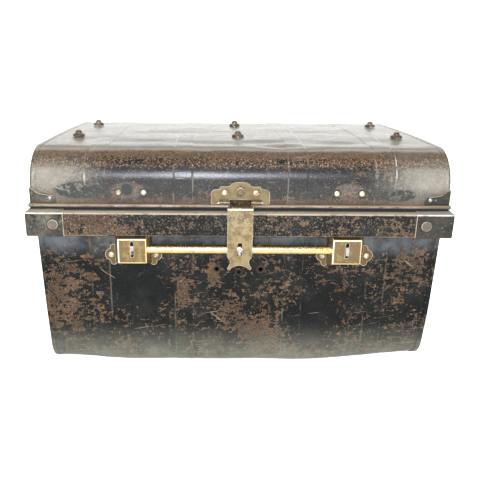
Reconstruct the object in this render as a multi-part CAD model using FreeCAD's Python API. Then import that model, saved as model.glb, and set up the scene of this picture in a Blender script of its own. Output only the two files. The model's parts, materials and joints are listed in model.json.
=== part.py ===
import FreeCAD, Part
import math
import os

from FreeCAD import Vector

# Tin travelling trunk with a round-edged lid, a hollow rim, a bar lock and a centre hasp.
# Millimetres. +Z is up, the front looks along -Y, X runs to the right seen from the front.
# The origin is on the floor, under the middle of the body. One STEP file per named piece.

# ---------------------------------------------------------------- sheet metal in general
SHEET = 0.9              # gauge of the tinned sheet
LAP_GAP = 0.1            # room between two lapped or bolted faces
RIVET_CLEARANCE = 0.05   # shank to hole, on the radius
RIVET_TOP_SHARE = 0.5    # flat top of a head, as a share of the head's radius
RIVET_TAIL_SHARE = 1.5   # clenched tail over the shank
SWAGE_HEIGHT = 1.2       # how far a rolled band stands out of the sheet
SWAGE_WIDTH = 30.0       # over its two foot lines
SWAGE_RAMP = 2.5         # width of its sloping edge
SWAGE_PLACES = (-207.0, -82.0, 82.0, 207.0)
END_LAP = 8.0            # how far an end pan folds over the wrapped sheet

# ---------------------------------------------------------------- body
BODY_WIDTH = 594.4       # over both ends, at the rim's lower edge
BODY_DEPTH = 400.0       # front sheet to back sheet, outside
BODY_HEIGHT = 221.0      # floor to the rim's lower edge
END_LEAN = 6.5           # each end leans in this much between rim and floor
FLOOR_BEND_R = 35.0      # rounded lower edges, outside
UPSTAND = 51.0           # the body wall above the rim's lower edge, up inside the lid

# ---------------------------------------------------------------- rim
RIM_PROJECTION = 11.5    # rim face in front of the body sheet
RIM_HEIGHT = 33.6        # upright face of the rim
RIM_SHOULDER_RISE = 8.5  # the top slopes up by this much towards the body
RIM_BEND_R = 1.6         # outside radius of the rim's folds
CAP_LENGTH = 55.0        # corner cap along each face
CAP_FOLD = 7.0           # how far it folds over the rim's shoulder and under its floor
CAP_RIVET_INSET = 40.0   # from the corner
CAP_RIVET_HEIGHT = 17.5  # above the rim's lower edge
CAP_RIVET_HEAD_R = 7.5
CAP_RIVET_HEAD_H = 1.8
CAP_RIVET_R = 3.0

# ---------------------------------------------------------------- lid
LID_CLEARANCE = 1.9      # lid sheet to the swages of the body wall
LID_END_CLEARANCE = 1.2  # lid end to body end at the top of the upstand
LID_WALL = 32.8          # straight part of the lid's front above the middle of its rolled edge
LID_CORNER_R = 48.0      # large rounded front and rear edges
LID_CROWN_R = 3300.0     # slight crown of the top
EDGE_R = 3.2             # rolled edge round the lid's mouth
EDGE_OFFSET = 1.3        # its middle in front of the lid sheet
EDGE_WIRE_R = 2.2        # wire inside the rolled edge
SEAM_GAP = 0.5           # rolled edge to the rim's sloping shoulder

PATCH_LENGTH = 37.0      # corner patch along each face
PATCH_HEIGHT = 22.0      # at the corner, above the rolled edge
PATCH_END_HEIGHT = 13.0  # at its far end
PATCH_RIVET_INSET = 29.0
PATCH_RIVET_HEIGHT = 8.0
PATCH_RIVET_HEAD_R = 2.8
PATCH_RIVET_HEAD_H = 1.6
PATCH_RIVET_R = 1.6
PATCH_SWEEP_DROP = 6.0   # the upper edge drops by this much round the far end
PATCH_SWEEP_END = 8.0    # length of that rounded end
PATCH_SWEEP_RISE = 1.5   # rise of the edge from there to the knee
PATCH_KNEE = 16.6        # from the corner to the knee, where the edge sweeps up
PATCH_END_BOW = 2.0
PATCH_CORNER_BOW = 2.0

STUD_X = 255.0           # outer studs to the middle one
STUD_Y = 80.5
STUD_FLANGE_R = 7.6
STUD_FLANGE_H = 1.2
STUD_DOME_R = 5.2
STUD_TOP_R = 3.0
STUD_SHOULDER = 3.0      # height of the rounding below the top
STUD_HEIGHT = 9.5
STUD_SHANK_R = 2.2
STUD_TAIL_H = 1.1

# ---------------------------------------------------------------- brass in general
BRASS_RIVET_R = 2.2
BRASS_RIVET_HEAD_R = 4.3
BRASS_RIVET_HEAD_H = 2.4
BRASS_PLATE = 1.4

# ---------------------------------------------------------------- centre hasp
HASP_PLATE_WIDTH = 84.0
HASP_PLATE_HEIGHT = 32.0     # foot to the top of the middle hump
HASP_PLATE_LIFT = 0.4        # foot above the rolled edge
PLATE_SIDE_HEIGHT = 15.0     # straight side of the plate
PLATE_SHOULDER_REACH = 5.5   # rounded shoulder, sideways and upwards
PLATE_SHOULDER_RISE = 6.0
PLATE_SHOULDER_BOW = 1.6
PLATE_LEDGE_LENGTH = 7.5     # rising ledge from the shoulder to the horn
PLATE_LEDGE_RISE = 1.5
PLATE_HORN_HEIGHT = 3.0
PLATE_HORN_WIDTH = 4.0
PLATE_FLANK_BOW = -0.5       # hollow flank between horn and hump
PLATE_HUMP_HALF = 15.0       # middle hump at its foot
PLATE_HUMP_FOOT_DROP = 5.5   # its foot below the top
PLATE_HUMP_BOW = 0.9
PLATE_CREST_HALF = 8.0
PLATE_CREST_DROP = 0.8
PLATE_CREST_BOW = 0.2
HASP_RIVET_X = 22.3
HASP_RIVET_HEIGHT = 16.5     # above the plate's foot
HASP_BOSS_R = 8.2
HASP_BOSS_H = 2.6
HASP_PIN_R = 1.5
HASP_PIN_LENGTH = 64.0
HASP_PIN_HEIGHT = 2.6        # pin above the plate's foot
HASP_PIN_CLEARANCE = 0.06
HASP_WIDTH = 36.8
HASP_SHEET = 2.0
HASP_KNUCKLE_LENGTH = 32.0
KNUCKLE_SIDE_GAP = 0.4
HASP_LENGTH = 99.0           # pin to the tips of the fishtail
HASP_BEND_HEIGHT = 4.6       # the strap turns straight down this far below the pin
HASP_BEND_R = 3.0
HASP_NECK_HEIGHT = 3.2       # the strap stays as narrow as its knuckle this far below the pin
HASP_NECK_SLOPE = 1.0        # and widens over this height
HASP_WAIST_HALF = 14.4
HASP_WAIST_HEIGHT = 15.0     # above the tips
HASP_WAIST_SHOULDER = 7.0    # height of the rounded step above the waist
HASP_WAIST_BOW = 0.65
HASP_TAIL_BOW = -1.55        # hollow flank from the waist to the tip
HASP_TAIL_HALF = 17.8        # outer side of each tip
HASP_TIP_HEIGHT = 3.2        # rounding of each tip
HASP_TIP_HALF = 14.4         # lowest point of each tip
HASP_TIP_BOW = 1.3
HASP_NOTCH_HEIGHT = 6.6      # arch between the tips
HASP_SLOT_WIDTH = 6.6
HASP_SLOT_BELOW = 7.4        # bar axis to the slot's lower end
HASP_SLOT_ABOVE = 12.4       # bar axis to its upper end
HASP_SLOT_R = 2.4

# ---------------------------------------------------------------- lock bar and its boxes
BAR_R = 7.0
BAR_WALL = 1.2
BAR_CORE_GAP = 0.05
BAR_BELOW_RIM = 20.0         # bar axis under the rim's lower edge
BAR_TO_SWAGE = 0.4           # back of the bar to the body's swages
BAR_TO_STRAP = 0.4           # front of the bar to the strap and to the box faces
LUG_THICKNESS = 4.0
LUG_HALF_HEIGHT = 7.0
LUG_PROUD = 0.6              # lug tip past the strap's face
BOX_X = 156.5                # middle of each lock box
BOX_WALL = 1.2
BOX_FACE_HALF = 20.5
BOX_FACE_ABOVE = 17.2        # bar axis to the face's upper edge
BOX_FACE_BELOW = 19.6        # bar axis to its lower edge
BOX_FOOT_SPREAD = 6.5        # the sides flare out by this much at the foot
BOX_TOP_SPREAD = 2.2
BOX_BOTTOM_SPREAD = 5.0
BOX_CORNER_R = 2.0
BOX_SLOT_WIDTH = 5.0
BOX_SLOT_ABOVE = 13.4
BOX_SLOT_BELOW = 10.6
BAR_RUNNING_CLEARANCE = 0.08
EAR_RIVET_X = 32.5           # from the box's middle
EAR_RIVET_DROP = 11.0        # ear rivets below the bar axis
EAR_R = 9.5
EAR_SCALLOP_R = 5.0

# ---------------------------------------------------------------- hole row of the lost lock plate
PLATE_HOLE_SPACING = 66.0
PLATE_HOLE_DROP = 54.5       # under the rim's lower edge
PLATE_HOLE_R = 2.75
CENTRE_HOLE_DROP = 59.3
CENTRE_HOLE_R = 1.8

# ---------------------------------------------------------------- rivets left from the side hasps
OLD_HASP_HALF_SPACING = 18.0
OLD_HASP_HEIGHT = 63.5       # above the rim's lower edge

# ---------------------------------------------------------------- rear hinges
HINGE_X = 144.5
HINGE_LENGTH = 60.0
HINGE_SHEET = 1.6
HINGE_PIN_R = 2.4
HINGE_PIN_CLEARANCE = 0.08
HINGE_STANDOFF = 0.4         # knuckle to the rim's back face
HINGE_AXIS_LIFT = 3.9        # axis above the rim's upright face
HINGE_MIDDLE_KNUCKLE = 24.0
HINGE_BODY_LEAF = 24.0       # leaf below the axis
HINGE_LID_LEAF = 44.0        # top of the lid leaf above the axis
HINGE_BEND_R = 3.0
HINGE_RIVET_R = 2.0
HINGE_RIVET_HEAD_R = 4.0
HINGE_RIVET_HEAD_H = 1.8
HINGE_RIVET_HALF_SPACING = 21.0

# ---------------------------------------------------------------- end handles
HANDLE_HEIGHT = 172.0        # pivot above the floor
HANDLE_SPAN = 104.0          # between the middles of the two eyes
BAIL_R = 4.0
BAIL_DROP = 44.0             # pivot to the middle of the grip
BAIL_BEND_R = 16.0
BAIL_TAIL = 9.0              # in-turned end past the middle of its eye
BAIL_DRAW_IN = 6.0           # each leg slopes in by this much towards the grip
EYE_SIDE_GAP = 1.5           # eye to the bail's leg
EYE_SHEET = 1.8
EYE_LENGTH = 14.0            # along the pivot
EYE_PLATE_REACH = 24.0       # plate above and below the pivot
EYE_CLEARANCE = 0.08
EYE_RIVET_REACH = 17.0
EYE_RIVET_R = 2.0
EYE_RIVET_HEAD_R = 3.8
EYE_RIVET_HEAD_H = 1.8

# ---------------------------------------------------------------- values worked out from these
X = Vector(1, 0, 0)
Y = Vector(0, 1, 0)
Z = Vector(0, 0, 1)

body_half_depth = BODY_DEPTH / 2
body_half_width = BODY_WIDTH / 2
wall_top = BODY_HEIGHT + UPSTAND
lean = END_LEAN / BODY_HEIGHT
body_crest = body_half_depth + SWAGE_HEIGHT

rim_half_width = body_half_width + RIM_PROJECTION
rim_half_depth = body_half_depth + RIM_PROJECTION
rim_face_top = BODY_HEIGHT + RIM_HEIGHT
rim_inner_depth = body_crest + LAP_GAP
rim_run = rim_half_depth - rim_inner_depth
shoulder_slope = RIM_SHOULDER_RISE / rim_run

lid_half_depth = body_crest + LID_CLEARANCE + SHEET
lid_half_width = body_half_width + lean * UPSTAND + LID_END_CLEARANCE + SHEET
lid_lap_depth = lid_half_depth + LAP_GAP + SHEET
edge_y = lid_half_depth + EDGE_OFFSET
edge_x = lid_half_width + EDGE_OFFSET
# The rolled edge clears the sloping shoulder by SEAM_GAP where the two are nearest, at the ends.
edge_inset = rim_half_width - edge_x
edge_z = (rim_face_top + edge_inset * shoulder_slope
          + (EDGE_R + SEAM_GAP) * math.hypot(1, shoulder_slope))
edge_top = edge_z + EDGE_R

# The lid's corner arcs end the straight wall; the crown joins them smoothly.
lid_arc_y = lid_half_depth - LID_CORNER_R
lid_arc_z = edge_z + LID_WALL
lid_arc_angle = math.degrees(math.asin(lid_arc_y / (LID_CROWN_R - LID_CORNER_R)))
crown_z = lid_arc_z - (LID_CROWN_R - LID_CORNER_R) * math.cos(math.radians(lid_arc_angle))
tall = crown_z + LID_CROWN_R + RIM_PROJECTION

hasp_plate_foot = edge_top + HASP_PLATE_LIFT
hasp_plate_back = lid_half_depth + LAP_GAP
hasp_plate_face = hasp_plate_back + BRASS_PLATE
hasp_knuckle_r = HASP_PIN_R + HASP_PIN_CLEARANCE + BRASS_PLATE
hasp_axis_y = -(hasp_plate_back + hasp_knuckle_r + KNUCKLE_SIDE_GAP)
hasp_axis_z = hasp_plate_foot + HASP_PIN_HEIGHT

bar_y = -(body_crest + BAR_TO_SWAGE + BAR_R)
bar_z = BODY_HEIGHT - BAR_BELOW_RIM
strap_inner = bar_y - BAR_R - BAR_TO_STRAP
strap_outer = strap_inner - HASP_SHEET
box_face = bar_y - BAR_R - BAR_TO_STRAP - BOX_WALL
# The boxes' ears reach over the outer swages, so both boxes sit at the height of the crests.
box_seat = -(body_crest + LAP_GAP)
ear_face = box_seat - BRASS_PLATE
lug_tip = strap_outer - LUG_PROUD

hinge_knuckle_r = HINGE_PIN_R + HINGE_PIN_CLEARANCE + HINGE_SHEET
hinge_y = rim_half_depth + HINGE_STANDOFF + hinge_knuckle_r
hinge_z = rim_face_top + HINGE_AXIS_LIFT


def end_wall(z):
    """Outer face of the body's right-hand end at height z: it leans in towards the floor."""
    return body_half_width + lean * (z - BODY_HEIGHT)


# ================================================================= general tools
def box(x0, x1, y0, y1, z0, z1):
    return Part.makeBox(x1 - x0, y1 - y0, z1 - z0, Vector(x0, y0, z0))


def rod(start, direction, length, radius):
    return Part.makeCylinder(radius, length, start, direction)


def mirrored(shape, normal):
    """The same piece on the other side of the middle plane with this normal."""
    return shape.mirror(Vector(0, 0, 0), normal)


def joined(shapes):
    first, *others = shapes
    whole = first.fuse(others).removeSplitter() if others else first
    return whole


def outline(points):
    """Flat face with straight edges through the points."""
    return Part.Face(Part.makePolygon(list(points) + [points[0]]))


def rounded_edges(points, radii, closed=False):
    """Edges along the points, with an arc of the given radius at each turn (0 leaves it sharp)."""
    count = len(points)
    turns = range(count) if closed else range(1, count - 1)
    starts = list(points)
    ends = list(points)
    arcs = {}
    for i in turns:
        radius = radii[i]
        if radius <= 0:
            continue
        corner = points[i]
        back = (points[i - 1] - corner).normalize()
        ahead = (points[(i + 1) % count] - corner).normalize()
        half_angle = back.getAngle(ahead) / 2
        reach = radius / math.tan(half_angle)
        starts[i] = corner + back * reach
        ends[i] = corner + ahead * reach
        middle_way = (back + ahead).normalize()
        middle = corner + middle_way * (radius / math.sin(half_angle) - radius)
        arcs[i] = Part.Arc(starts[i], middle, ends[i]).toShape()
    edges = []
    for i in range(count if closed else count - 1):
        following = (i + 1) % count
        if (starts[following] - ends[i]).Length > 1e-6:
            edges.append(Part.LineSegment(ends[i], starts[following]).toShape())
        if following in arcs and (closed or following < count - 1):
            edges.append(arcs[following])
    return edges


def rounded_outline(points, radii):
    return Part.Face(Part.Wire(Part.__sortEdges__(rounded_edges(points, radii, closed=True))))


def beside(points, distance, normal):
    """The polyline moved sideways by distance; normal x heading is the side it moves to."""
    headings = [(b - a).normalize() for a, b in zip(points, points[1:])]
    sides = [normal.cross(h) for h in headings]
    moved = [points[0] + sides[0] * distance]
    for i in range(1, len(points) - 1):
        bisector = (sides[i - 1] + sides[i]).normalize()
        moved.append(points[i] + bisector * (distance / bisector.dot(sides[i])))
    moved.append(points[-1] + sides[-1] * distance)
    return moved


def bent_sheet(points, radii, thickness, normal):
    """Section of a bent sheet: one face follows the points, the other lies thickness beside it.

    radii holds the bend radius of the first face at each inner point; the second face gets the
    concentric radius."""
    other = beside(points, thickness, normal)
    other_radii = list(radii)
    for i in range(1, len(points) - 1):
        before = points[i] - points[i - 1]
        after = points[i + 1] - points[i]
        towards = normal.cross(before).dot(after) > 0
        other_radii[i] = radii[i] - thickness if towards else radii[i] + thickness
    near = rounded_edges(points, radii)
    far = rounded_edges(other, other_radii)
    caps = [Part.LineSegment(points[0], other[0]).toShape(),
            Part.LineSegment(points[-1], other[-1]).toShape()]
    return Part.Face(Part.Wire(Part.__sortEdges__(near + far + caps)))


def carried(section, moves):
    """Solid left by a section that is carried along straight runs and turned round bends.

    A move is a vector for a run, or (centre, axis, degrees) for a bend."""
    pieces = []
    for move in moves:
        if isinstance(move, Vector):
            pieces.append(section.extrude(move))
            section = section.copy()
            section.translate(move)
        else:
            centre, axis, degrees = move
            pieces.append(section.revolve(centre, axis, degrees))
            section = section.copy()
            section.rotate(centre, axis, degrees)
    return joined(pieces)


def bowed(start, end, bow):
    """Arc in an XZ plane; bow is its height over the chord, to the right as seen from the front."""
    chord = end - start
    side = Y.cross(chord).normalize()
    return Part.Arc(start, start + chord * 0.5 + side * bow, end)


def turned(profile, place, outward):
    """Solid of revolution of (radius, height) pairs, set at place with its axis outward."""
    section = outline([Vector(radius, 0, height) for radius, height in profile])
    shape = section.revolve(Vector(0, 0, 0), Z, 360)
    shape.Placement = FreeCAD.Placement(place, FreeCAD.Rotation(Z, outward))
    return shape


def rivet(place, outward, radius, head_r, head_h, grip):
    """Rivet in its plain form: tapered head outside, shank through the grip, clenched tail inside."""
    tail_h = radius * 0.5
    return turned([(0, head_h), (head_r * RIVET_TOP_SHARE, head_h), (head_r, 0), (radius, 0),
                   (radius, -grip), (radius * RIVET_TAIL_SHARE, -grip), (radius, -grip - tail_h),
                   (0, -grip - tail_h)], place, outward)


def drilled(shape, places, outward, radius, reach=30.0):
    """The shape with a round hole through it at each place, along outward."""
    drills = [rod(place - outward * reach, outward, 2 * reach, radius) for place in places]
    return shape.cut(Part.makeCompound(drills)) if drills else shape


def framed(front, side, half_width, half_depth):
    """Four runs mitred into a frame, from the sections of the front and the right-hand side.

    The mitres run inwards at 45 degrees from the corners at half_width and half_depth."""
    ridge = half_width - half_depth
    front_plan = outline([Vector(-half_width, -half_depth, 0), Vector(half_width, -half_depth, 0),
                          Vector(ridge, 0, 0), Vector(-ridge, 0, 0)])
    side_plan = outline([Vector(half_width, -half_depth, 0), Vector(half_width, half_depth, 0),
                         Vector(ridge, 0, 0)])
    front_run = front.copy()
    front_run.translate(-X * half_width)
    front_run = front_run.extrude(X * 2 * half_width).common(front_plan.extrude(Z * tall))
    side_run = side.copy()
    side_run.translate(-Y * half_depth)
    side_run = side_run.extrude(Y * 2 * half_depth).common(side_plan.extrude(Z * tall))
    return joined([front_run, mirrored(front_run, Y), side_run, mirrored(side_run, X)])


# ================================================================= swaged sheets
def swaged_section(left, right):
    """Cross-section of a wrapped sheet in the XZ plane: outer face at z = 0, bands standing up."""
    foot = SWAGE_WIDTH / 2
    crest = foot - SWAGE_RAMP
    upper = [Vector(left, 0, 0)]
    for centre in SWAGE_PLACES:
        upper += [Vector(centre - foot, 0, 0), Vector(centre - crest, 0, SWAGE_HEIGHT),
                  Vector(centre + crest, 0, SWAGE_HEIGHT), Vector(centre + foot, 0, 0)]
    upper.append(Vector(right, 0, 0))
    lower = [point - Z * SHEET for point in reversed(upper)]
    return outline(upper + lower)


def leaning_block(inset, bottom, top, deep=rim_half_depth):
    """All that lies between the two leaning ends, inset from their outer faces."""
    low = end_wall(bottom) - inset
    high = end_wall(top) - inset
    face = outline([Vector(-low, -deep, bottom), Vector(low, -deep, bottom),
                    Vector(high, -deep, top), Vector(-high, -deep, top)])
    return face.extrude(Y * 2 * deep)


def body_wrap():
    """Front, bottom and back of the body, one sheet with four bands rolled along it."""
    reach = body_half_width + END_LEAN
    section = swaged_section(-reach, reach)
    # Stand the section on the front wall's top edge, its outer side towards -Y.
    section.rotate(Vector(0, 0, 0), X, 90)
    section.translate(Vector(0, -body_half_depth, wall_top))
    bend_z = SWAGE_HEIGHT + FLOOR_BEND_R
    bend_y = body_half_depth - FLOOR_BEND_R
    wrap = carried(section, [Z * (bend_z - wall_top),
                             (Vector(0, -bend_y, bend_z), X, 90), Y * 2 * bend_y,
                             (Vector(0, bend_y, bend_z), X, 90), Z * (wall_top - bend_z)])
    wrap = wrap.common(leaning_block(SHEET + LAP_GAP, 0, wall_top))
    wrap = drilled(wrap, ear_rivet_places(), Y, BRASS_RIVET_R + RIVET_CLEARANCE, 15)
    half = PLATE_HOLE_SPACING / 2
    row = [Vector(x, -body_half_depth, BODY_HEIGHT - PLATE_HOLE_DROP) for x in (-half, half)]
    wrap = drilled(wrap, row, Y, PLATE_HOLE_R, 15)
    middle = Vector(0, -body_half_depth, BODY_HEIGHT - CENTRE_HOLE_DROP)
    return drilled(wrap, [middle], Y, CENTRE_HOLE_R, 15)


def body_profile(outset):
    """Filled end view of the body, moved out from the plain sheet by outset."""
    half = body_half_depth + outset
    floor = SWAGE_HEIGHT - outset
    points = [Vector(0, -half, wall_top), Vector(0, -half, floor), Vector(0, half, floor),
              Vector(0, half, wall_top)]
    bend = FLOOR_BEND_R + outset
    return rounded_outline(points, [0, bend, bend, 0])


def body_end():
    """Right-hand end pan: a leaning sheet whose edge folds back over the wrapped sheet."""
    reach = Vector(body_half_width + 2 * END_LEAN, 0, 0)
    full = body_profile(LAP_GAP + SHEET).extrude(reach)
    inner = body_profile(LAP_GAP).extrude(reach)
    outer_limit = leaning_block(0, -5, wall_top)
    panel = full.common(outer_limit).cut(leaning_block(SHEET, -5, wall_top))
    fold = full.cut(inner).common(outer_limit).cut(leaning_block(SHEET + END_LAP, -5, wall_top))
    pan = joined([panel, fold])
    places = [Vector(end_wall(z), y, z) for y, z in eye_rivet_spots()]
    return drilled(pan, places, X, EYE_RIVET_R + RIVET_CLEARANCE, 10)


def lid_wrap():
    """Front, top and back of the lid in one sheet with the same four bands as the body."""
    reach = lid_half_width - SHEET - LAP_GAP
    section = swaged_section(-reach, reach)
    section.rotate(Vector(0, 0, 0), X, 90)
    section.translate(Vector(0, -lid_half_depth, edge_z))
    corner_turn = lid_arc_angle - 90
    wrap = carried(section, [Z * LID_WALL, (Vector(0, -lid_arc_y, lid_arc_z), X, corner_turn),
                             (Vector(0, 0, crown_z), X, -2 * lid_arc_angle),
                             (Vector(0, lid_arc_y, lid_arc_z), X, corner_turn), -Z * LID_WALL])
    wrap = wrap.cut(rolled_edge_core(EDGE_R))
    for place, upright in stud_places():
        wrap = drilled(wrap, [place], upright, STUD_SHANK_R + RIVET_CLEARANCE, 8)
    wrap = drilled(wrap, hasp_rivet_places(), Y, BRASS_RIVET_R + RIVET_CLEARANCE, 8)
    wrap = drilled(wrap, [hasp_boss_place()], Y, BRASS_RIVET_R + RIVET_CLEARANCE, 8)
    wrap = drilled(wrap, old_hasp_places(), Y, BRASS_RIVET_R + RIVET_CLEARANCE, 8)
    wrap = drilled(wrap, patch_front_places(), Y, PATCH_RIVET_R + RIVET_CLEARANCE, 12)
    wrap = drilled(wrap, patch_back_places(), Y, PATCH_RIVET_R + RIVET_CLEARANCE, 12)
    return drilled(wrap, hinge_lid_places(), Y, HINGE_RIVET_R + RIVET_CLEARANCE, 12)


def lid_profile(outset):
    """Filled end view of the lid above the middle of its rolled edge."""
    corner = LID_CORNER_R + outset
    wall = lid_half_depth + outset
    height = lid_arc_z

    def on_corner(sign, degrees):
        swing = math.radians(degrees)
        return Vector(0, sign * (lid_arc_y + corner * math.cos(swing)), height + corner * math.sin(swing))

    meet = 90 - lid_arc_angle
    top = Vector(0, 0, crown_z + LID_CROWN_R + outset)
    edges = [Part.LineSegment(Vector(0, -wall, edge_z), Vector(0, -wall, height)).toShape(),
             Part.Arc(Vector(0, -wall, height), on_corner(-1, meet / 2), on_corner(-1, meet)).toShape(),
             Part.Arc(on_corner(-1, meet), top, on_corner(1, meet)).toShape(),
             Part.Arc(on_corner(1, meet), on_corner(1, meet / 2), Vector(0, wall, height)).toShape(),
             Part.LineSegment(Vector(0, wall, height), Vector(0, wall, edge_z)).toShape(),
             Part.LineSegment(Vector(0, wall, edge_z), Vector(0, -wall, edge_z)).toShape()]
    return Part.Face(Part.Wire(Part.__sortEdges__(edges)))


def lid_end():
    """Right-hand end pan of the lid."""
    start = lid_half_width - SHEET - END_LAP
    full = lid_profile(LAP_GAP + SHEET)
    inner = lid_profile(LAP_GAP)
    for face in (full, inner):
        face.translate(X * start)
    pan = full.extrude(X * (SHEET + END_LAP)).cut(inner.extrude(X * END_LAP))
    pan = pan.cut(rolled_edge_core(EDGE_R))
    for places in (patch_front_places(), patch_back_places()):
        pan = drilled(pan, places, Y, PATCH_RIVET_R + RIVET_CLEARANCE, 12)
    return drilled(pan, patch_end_places(), X, PATCH_RIVET_R + RIVET_CLEARANCE, 12)


def rolled_edge_core(radius):
    """Round bar of this radius along the lid's mouth, mitred at the corners."""
    front = Part.Face(Part.Wire(Part.makeCircle(radius, Vector(0, -edge_y, edge_z), X)))
    side = Part.Face(Part.Wire(Part.makeCircle(radius, Vector(edge_x, 0, edge_z), Y)))
    return framed(front, side, edge_x + 2 * EDGE_R, edge_y + 2 * EDGE_R)


def lid_rolled_edge():
    return rolled_edge_core(EDGE_R).cut(rolled_edge_core(EDGE_WIRE_R + RIVET_CLEARANCE))


# ================================================================= rim
def rim_section(outset):
    """Folded rim in the plane x = 0 in front of the body: floor, upright face, sloping shoulder."""
    face = -(rim_half_depth + outset)
    low = BODY_HEIGHT - outset
    root = -rim_inner_depth
    slant = math.hypot(1, shoulder_slope)
    shoulder = rim_face_top + outset * (slant - shoulder_slope)
    top = shoulder + (abs(face) - rim_inner_depth) * shoulder_slope
    points = [Vector(0, root, low), Vector(0, face, low), Vector(0, face, shoulder),
              Vector(0, root, top)]
    bend = RIM_BEND_R + outset
    return bent_sheet(points, [0, bend, bend, 0], SHEET, -X)


def side_section(section):
    """The front section stood on the right-hand side, at the same distance from the corner."""
    side = section.copy()
    side.translate(Y * rim_half_depth)
    side.rotate(Vector(0, 0, 0), Z, 90)
    side.translate(X * rim_half_width)
    return side


def rim_ring(outset):
    """All four runs of the rim, moved out by outset, before the body is cut out of it."""
    front = rim_section(outset)
    return framed(front, side_section(front), rim_half_width + outset, rim_half_depth + outset)


def rim_channel():
    ring = rim_ring(0).cut(leaning_block(-LAP_GAP, 0, wall_top, rim_inner_depth))
    places = cap_rivet_places()
    for outward in (Y, X):
        spots = [place for place, way in places if abs(way.dot(outward)) > 0.5]
        ring = drilled(ring, spots, outward, CAP_RIVET_R + RIVET_CLEARANCE, 6)
    return drilled(ring, hinge_body_places(), Y, HINGE_RIVET_R + RIVET_CLEARANCE, 6)


def rim_cap():
    """Cap over the rim's front right corner, folded as the rim is."""
    outset = LAP_GAP + SHEET
    corner_x = rim_half_width + outset
    corner_y = rim_half_depth + outset
    keep = box(corner_x - CAP_LENGTH, corner_x, -corner_y, -corner_y + CAP_LENGTH, 0, wall_top)
    inner = box(0, corner_x - CAP_FOLD, -corner_y + CAP_FOLD, 0, 0, wall_top)
    cap = rim_ring(outset).common(keep).cut(inner)
    for outward in (Y, X):
        spots = [place for place, way in cap_rivet_places() if abs(way.dot(outward)) > 0.5]
        cap = drilled(cap, spots, outward, CAP_RIVET_R + RIVET_CLEARANCE, 6)
    return cap


def cap_rivet_places():
    """Place and outward way of the eight flat rivets in the corner caps."""
    outset = LAP_GAP + SHEET
    far_x = rim_half_width + outset
    far_y = rim_half_depth + outset
    height = BODY_HEIGHT + CAP_RIVET_HEIGHT
    places = []
    for sx in (-1, 1):
        for sy in (-1, 1):
            places.append((Vector(sx * (far_x - CAP_RIVET_INSET), sy * far_y, height), Y * sy))
            places.append((Vector(sx * far_x, sy * (far_y - CAP_RIVET_INSET), height), X * sx))
    return places


def rim_cap_rivets():
    grip = 2 * SHEET + LAP_GAP
    return [rivet(place, way, CAP_RIVET_R, CAP_RIVET_HEAD_R, CAP_RIVET_HEAD_H, grip)
            for place, way in cap_rivet_places()]


# ================================================================= lid trimmings
patch_y = lid_lap_depth + LAP_GAP + SHEET
patch_x = lid_half_width + LAP_GAP + SHEET


def patch_front_places():
    height = edge_top + PATCH_RIVET_HEIGHT
    return [Vector(sign * (patch_x - PATCH_RIVET_INSET), -patch_y, height) for sign in (-1, 1)]


def patch_back_places():
    return [Vector(place.x, -place.y, place.z) for place in patch_front_places()]


def patch_end_places():
    height = edge_top + PATCH_RIVET_HEIGHT
    return [Vector(patch_x, sign * (patch_y - PATCH_RIVET_INSET), height) for sign in (-1, 1)]


def lid_corner_patch():
    """Angle patch on the lid's front right corner; its upper edge sweeps down from the corner."""
    foot = edge_top + LAP_GAP
    sharp = [Vector(patch_x - PATCH_LENGTH, -patch_y, 0), Vector(patch_x, -patch_y, 0),
             Vector(patch_x, -patch_y + PATCH_LENGTH, 0)]
    plan = bent_sheet(sharp, [0, SHEET + 0.4, 0], SHEET, Z)
    plan.translate(Z * foot)
    angle = plan.extrude(Z * PATCH_HEIGHT)
    # The part that is taken away above the sweeping edge, first on the front leg, then on the side.
    low = foot + PATCH_END_HEIGHT
    high = foot + PATCH_HEIGHT
    over = high + 1

    def at(run, z):
        return Vector(patch_x - run, -patch_y - 1, z)

    end = at(PATCH_LENGTH, low - PATCH_SWEEP_DROP)
    rounded = at(PATCH_LENGTH - PATCH_SWEEP_END, low)
    knee = at(PATCH_KNEE, low + PATCH_SWEEP_RISE)
    corner = at(0, high)
    beyond = [at(0, over), at(PATCH_LENGTH + 1, over), at(PATCH_LENGTH + 1, end.z)]
    sweep = [bowed(end, rounded, -PATCH_END_BOW), Part.LineSegment(rounded, knee),
             bowed(knee, corner, PATCH_CORNER_BOW)]
    sweep += [Part.LineSegment(a, b) for a, b in zip([corner] + beyond, beyond + [end])]
    waste = Part.Face(Part.Wire(Part.__sortEdges__([line.toShape() for line in sweep])))
    front_waste = waste.extrude(Y * (SHEET + 1.2))
    side_waste = front_waste.copy()
    side_waste.translate(Vector(-patch_x, patch_y, 0))
    side_waste = mirrored(side_waste, X)
    side_waste.rotate(Vector(0, 0, 0), Z, 90)
    side_waste.translate(Vector(patch_x, -patch_y, 0))
    patch = angle.cut(front_waste).cut(side_waste)
    patch = drilled(patch, patch_front_places(), Y, PATCH_RIVET_R + RIVET_CLEARANCE, 12)
    return drilled(patch, patch_end_places(), X, PATCH_RIVET_R + RIVET_CLEARANCE, 12)


def lid_corner_rivets():
    grip = 3 * SHEET + 2 * LAP_GAP
    fronts = [rivet(place, -Y, PATCH_RIVET_R, PATCH_RIVET_HEAD_R, PATCH_RIVET_HEAD_H, grip)
              for place in patch_front_places()]
    end_grip = 2 * SHEET + LAP_GAP
    sides = [rivet(place, X, PATCH_RIVET_R, PATCH_RIVET_HEAD_R, PATCH_RIVET_HEAD_H, end_grip)
             for place in patch_end_places()]
    return (fronts + [mirrored(shape, Y) for shape in fronts]
            + sides + [mirrored(shape, X) for shape in sides])


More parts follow.
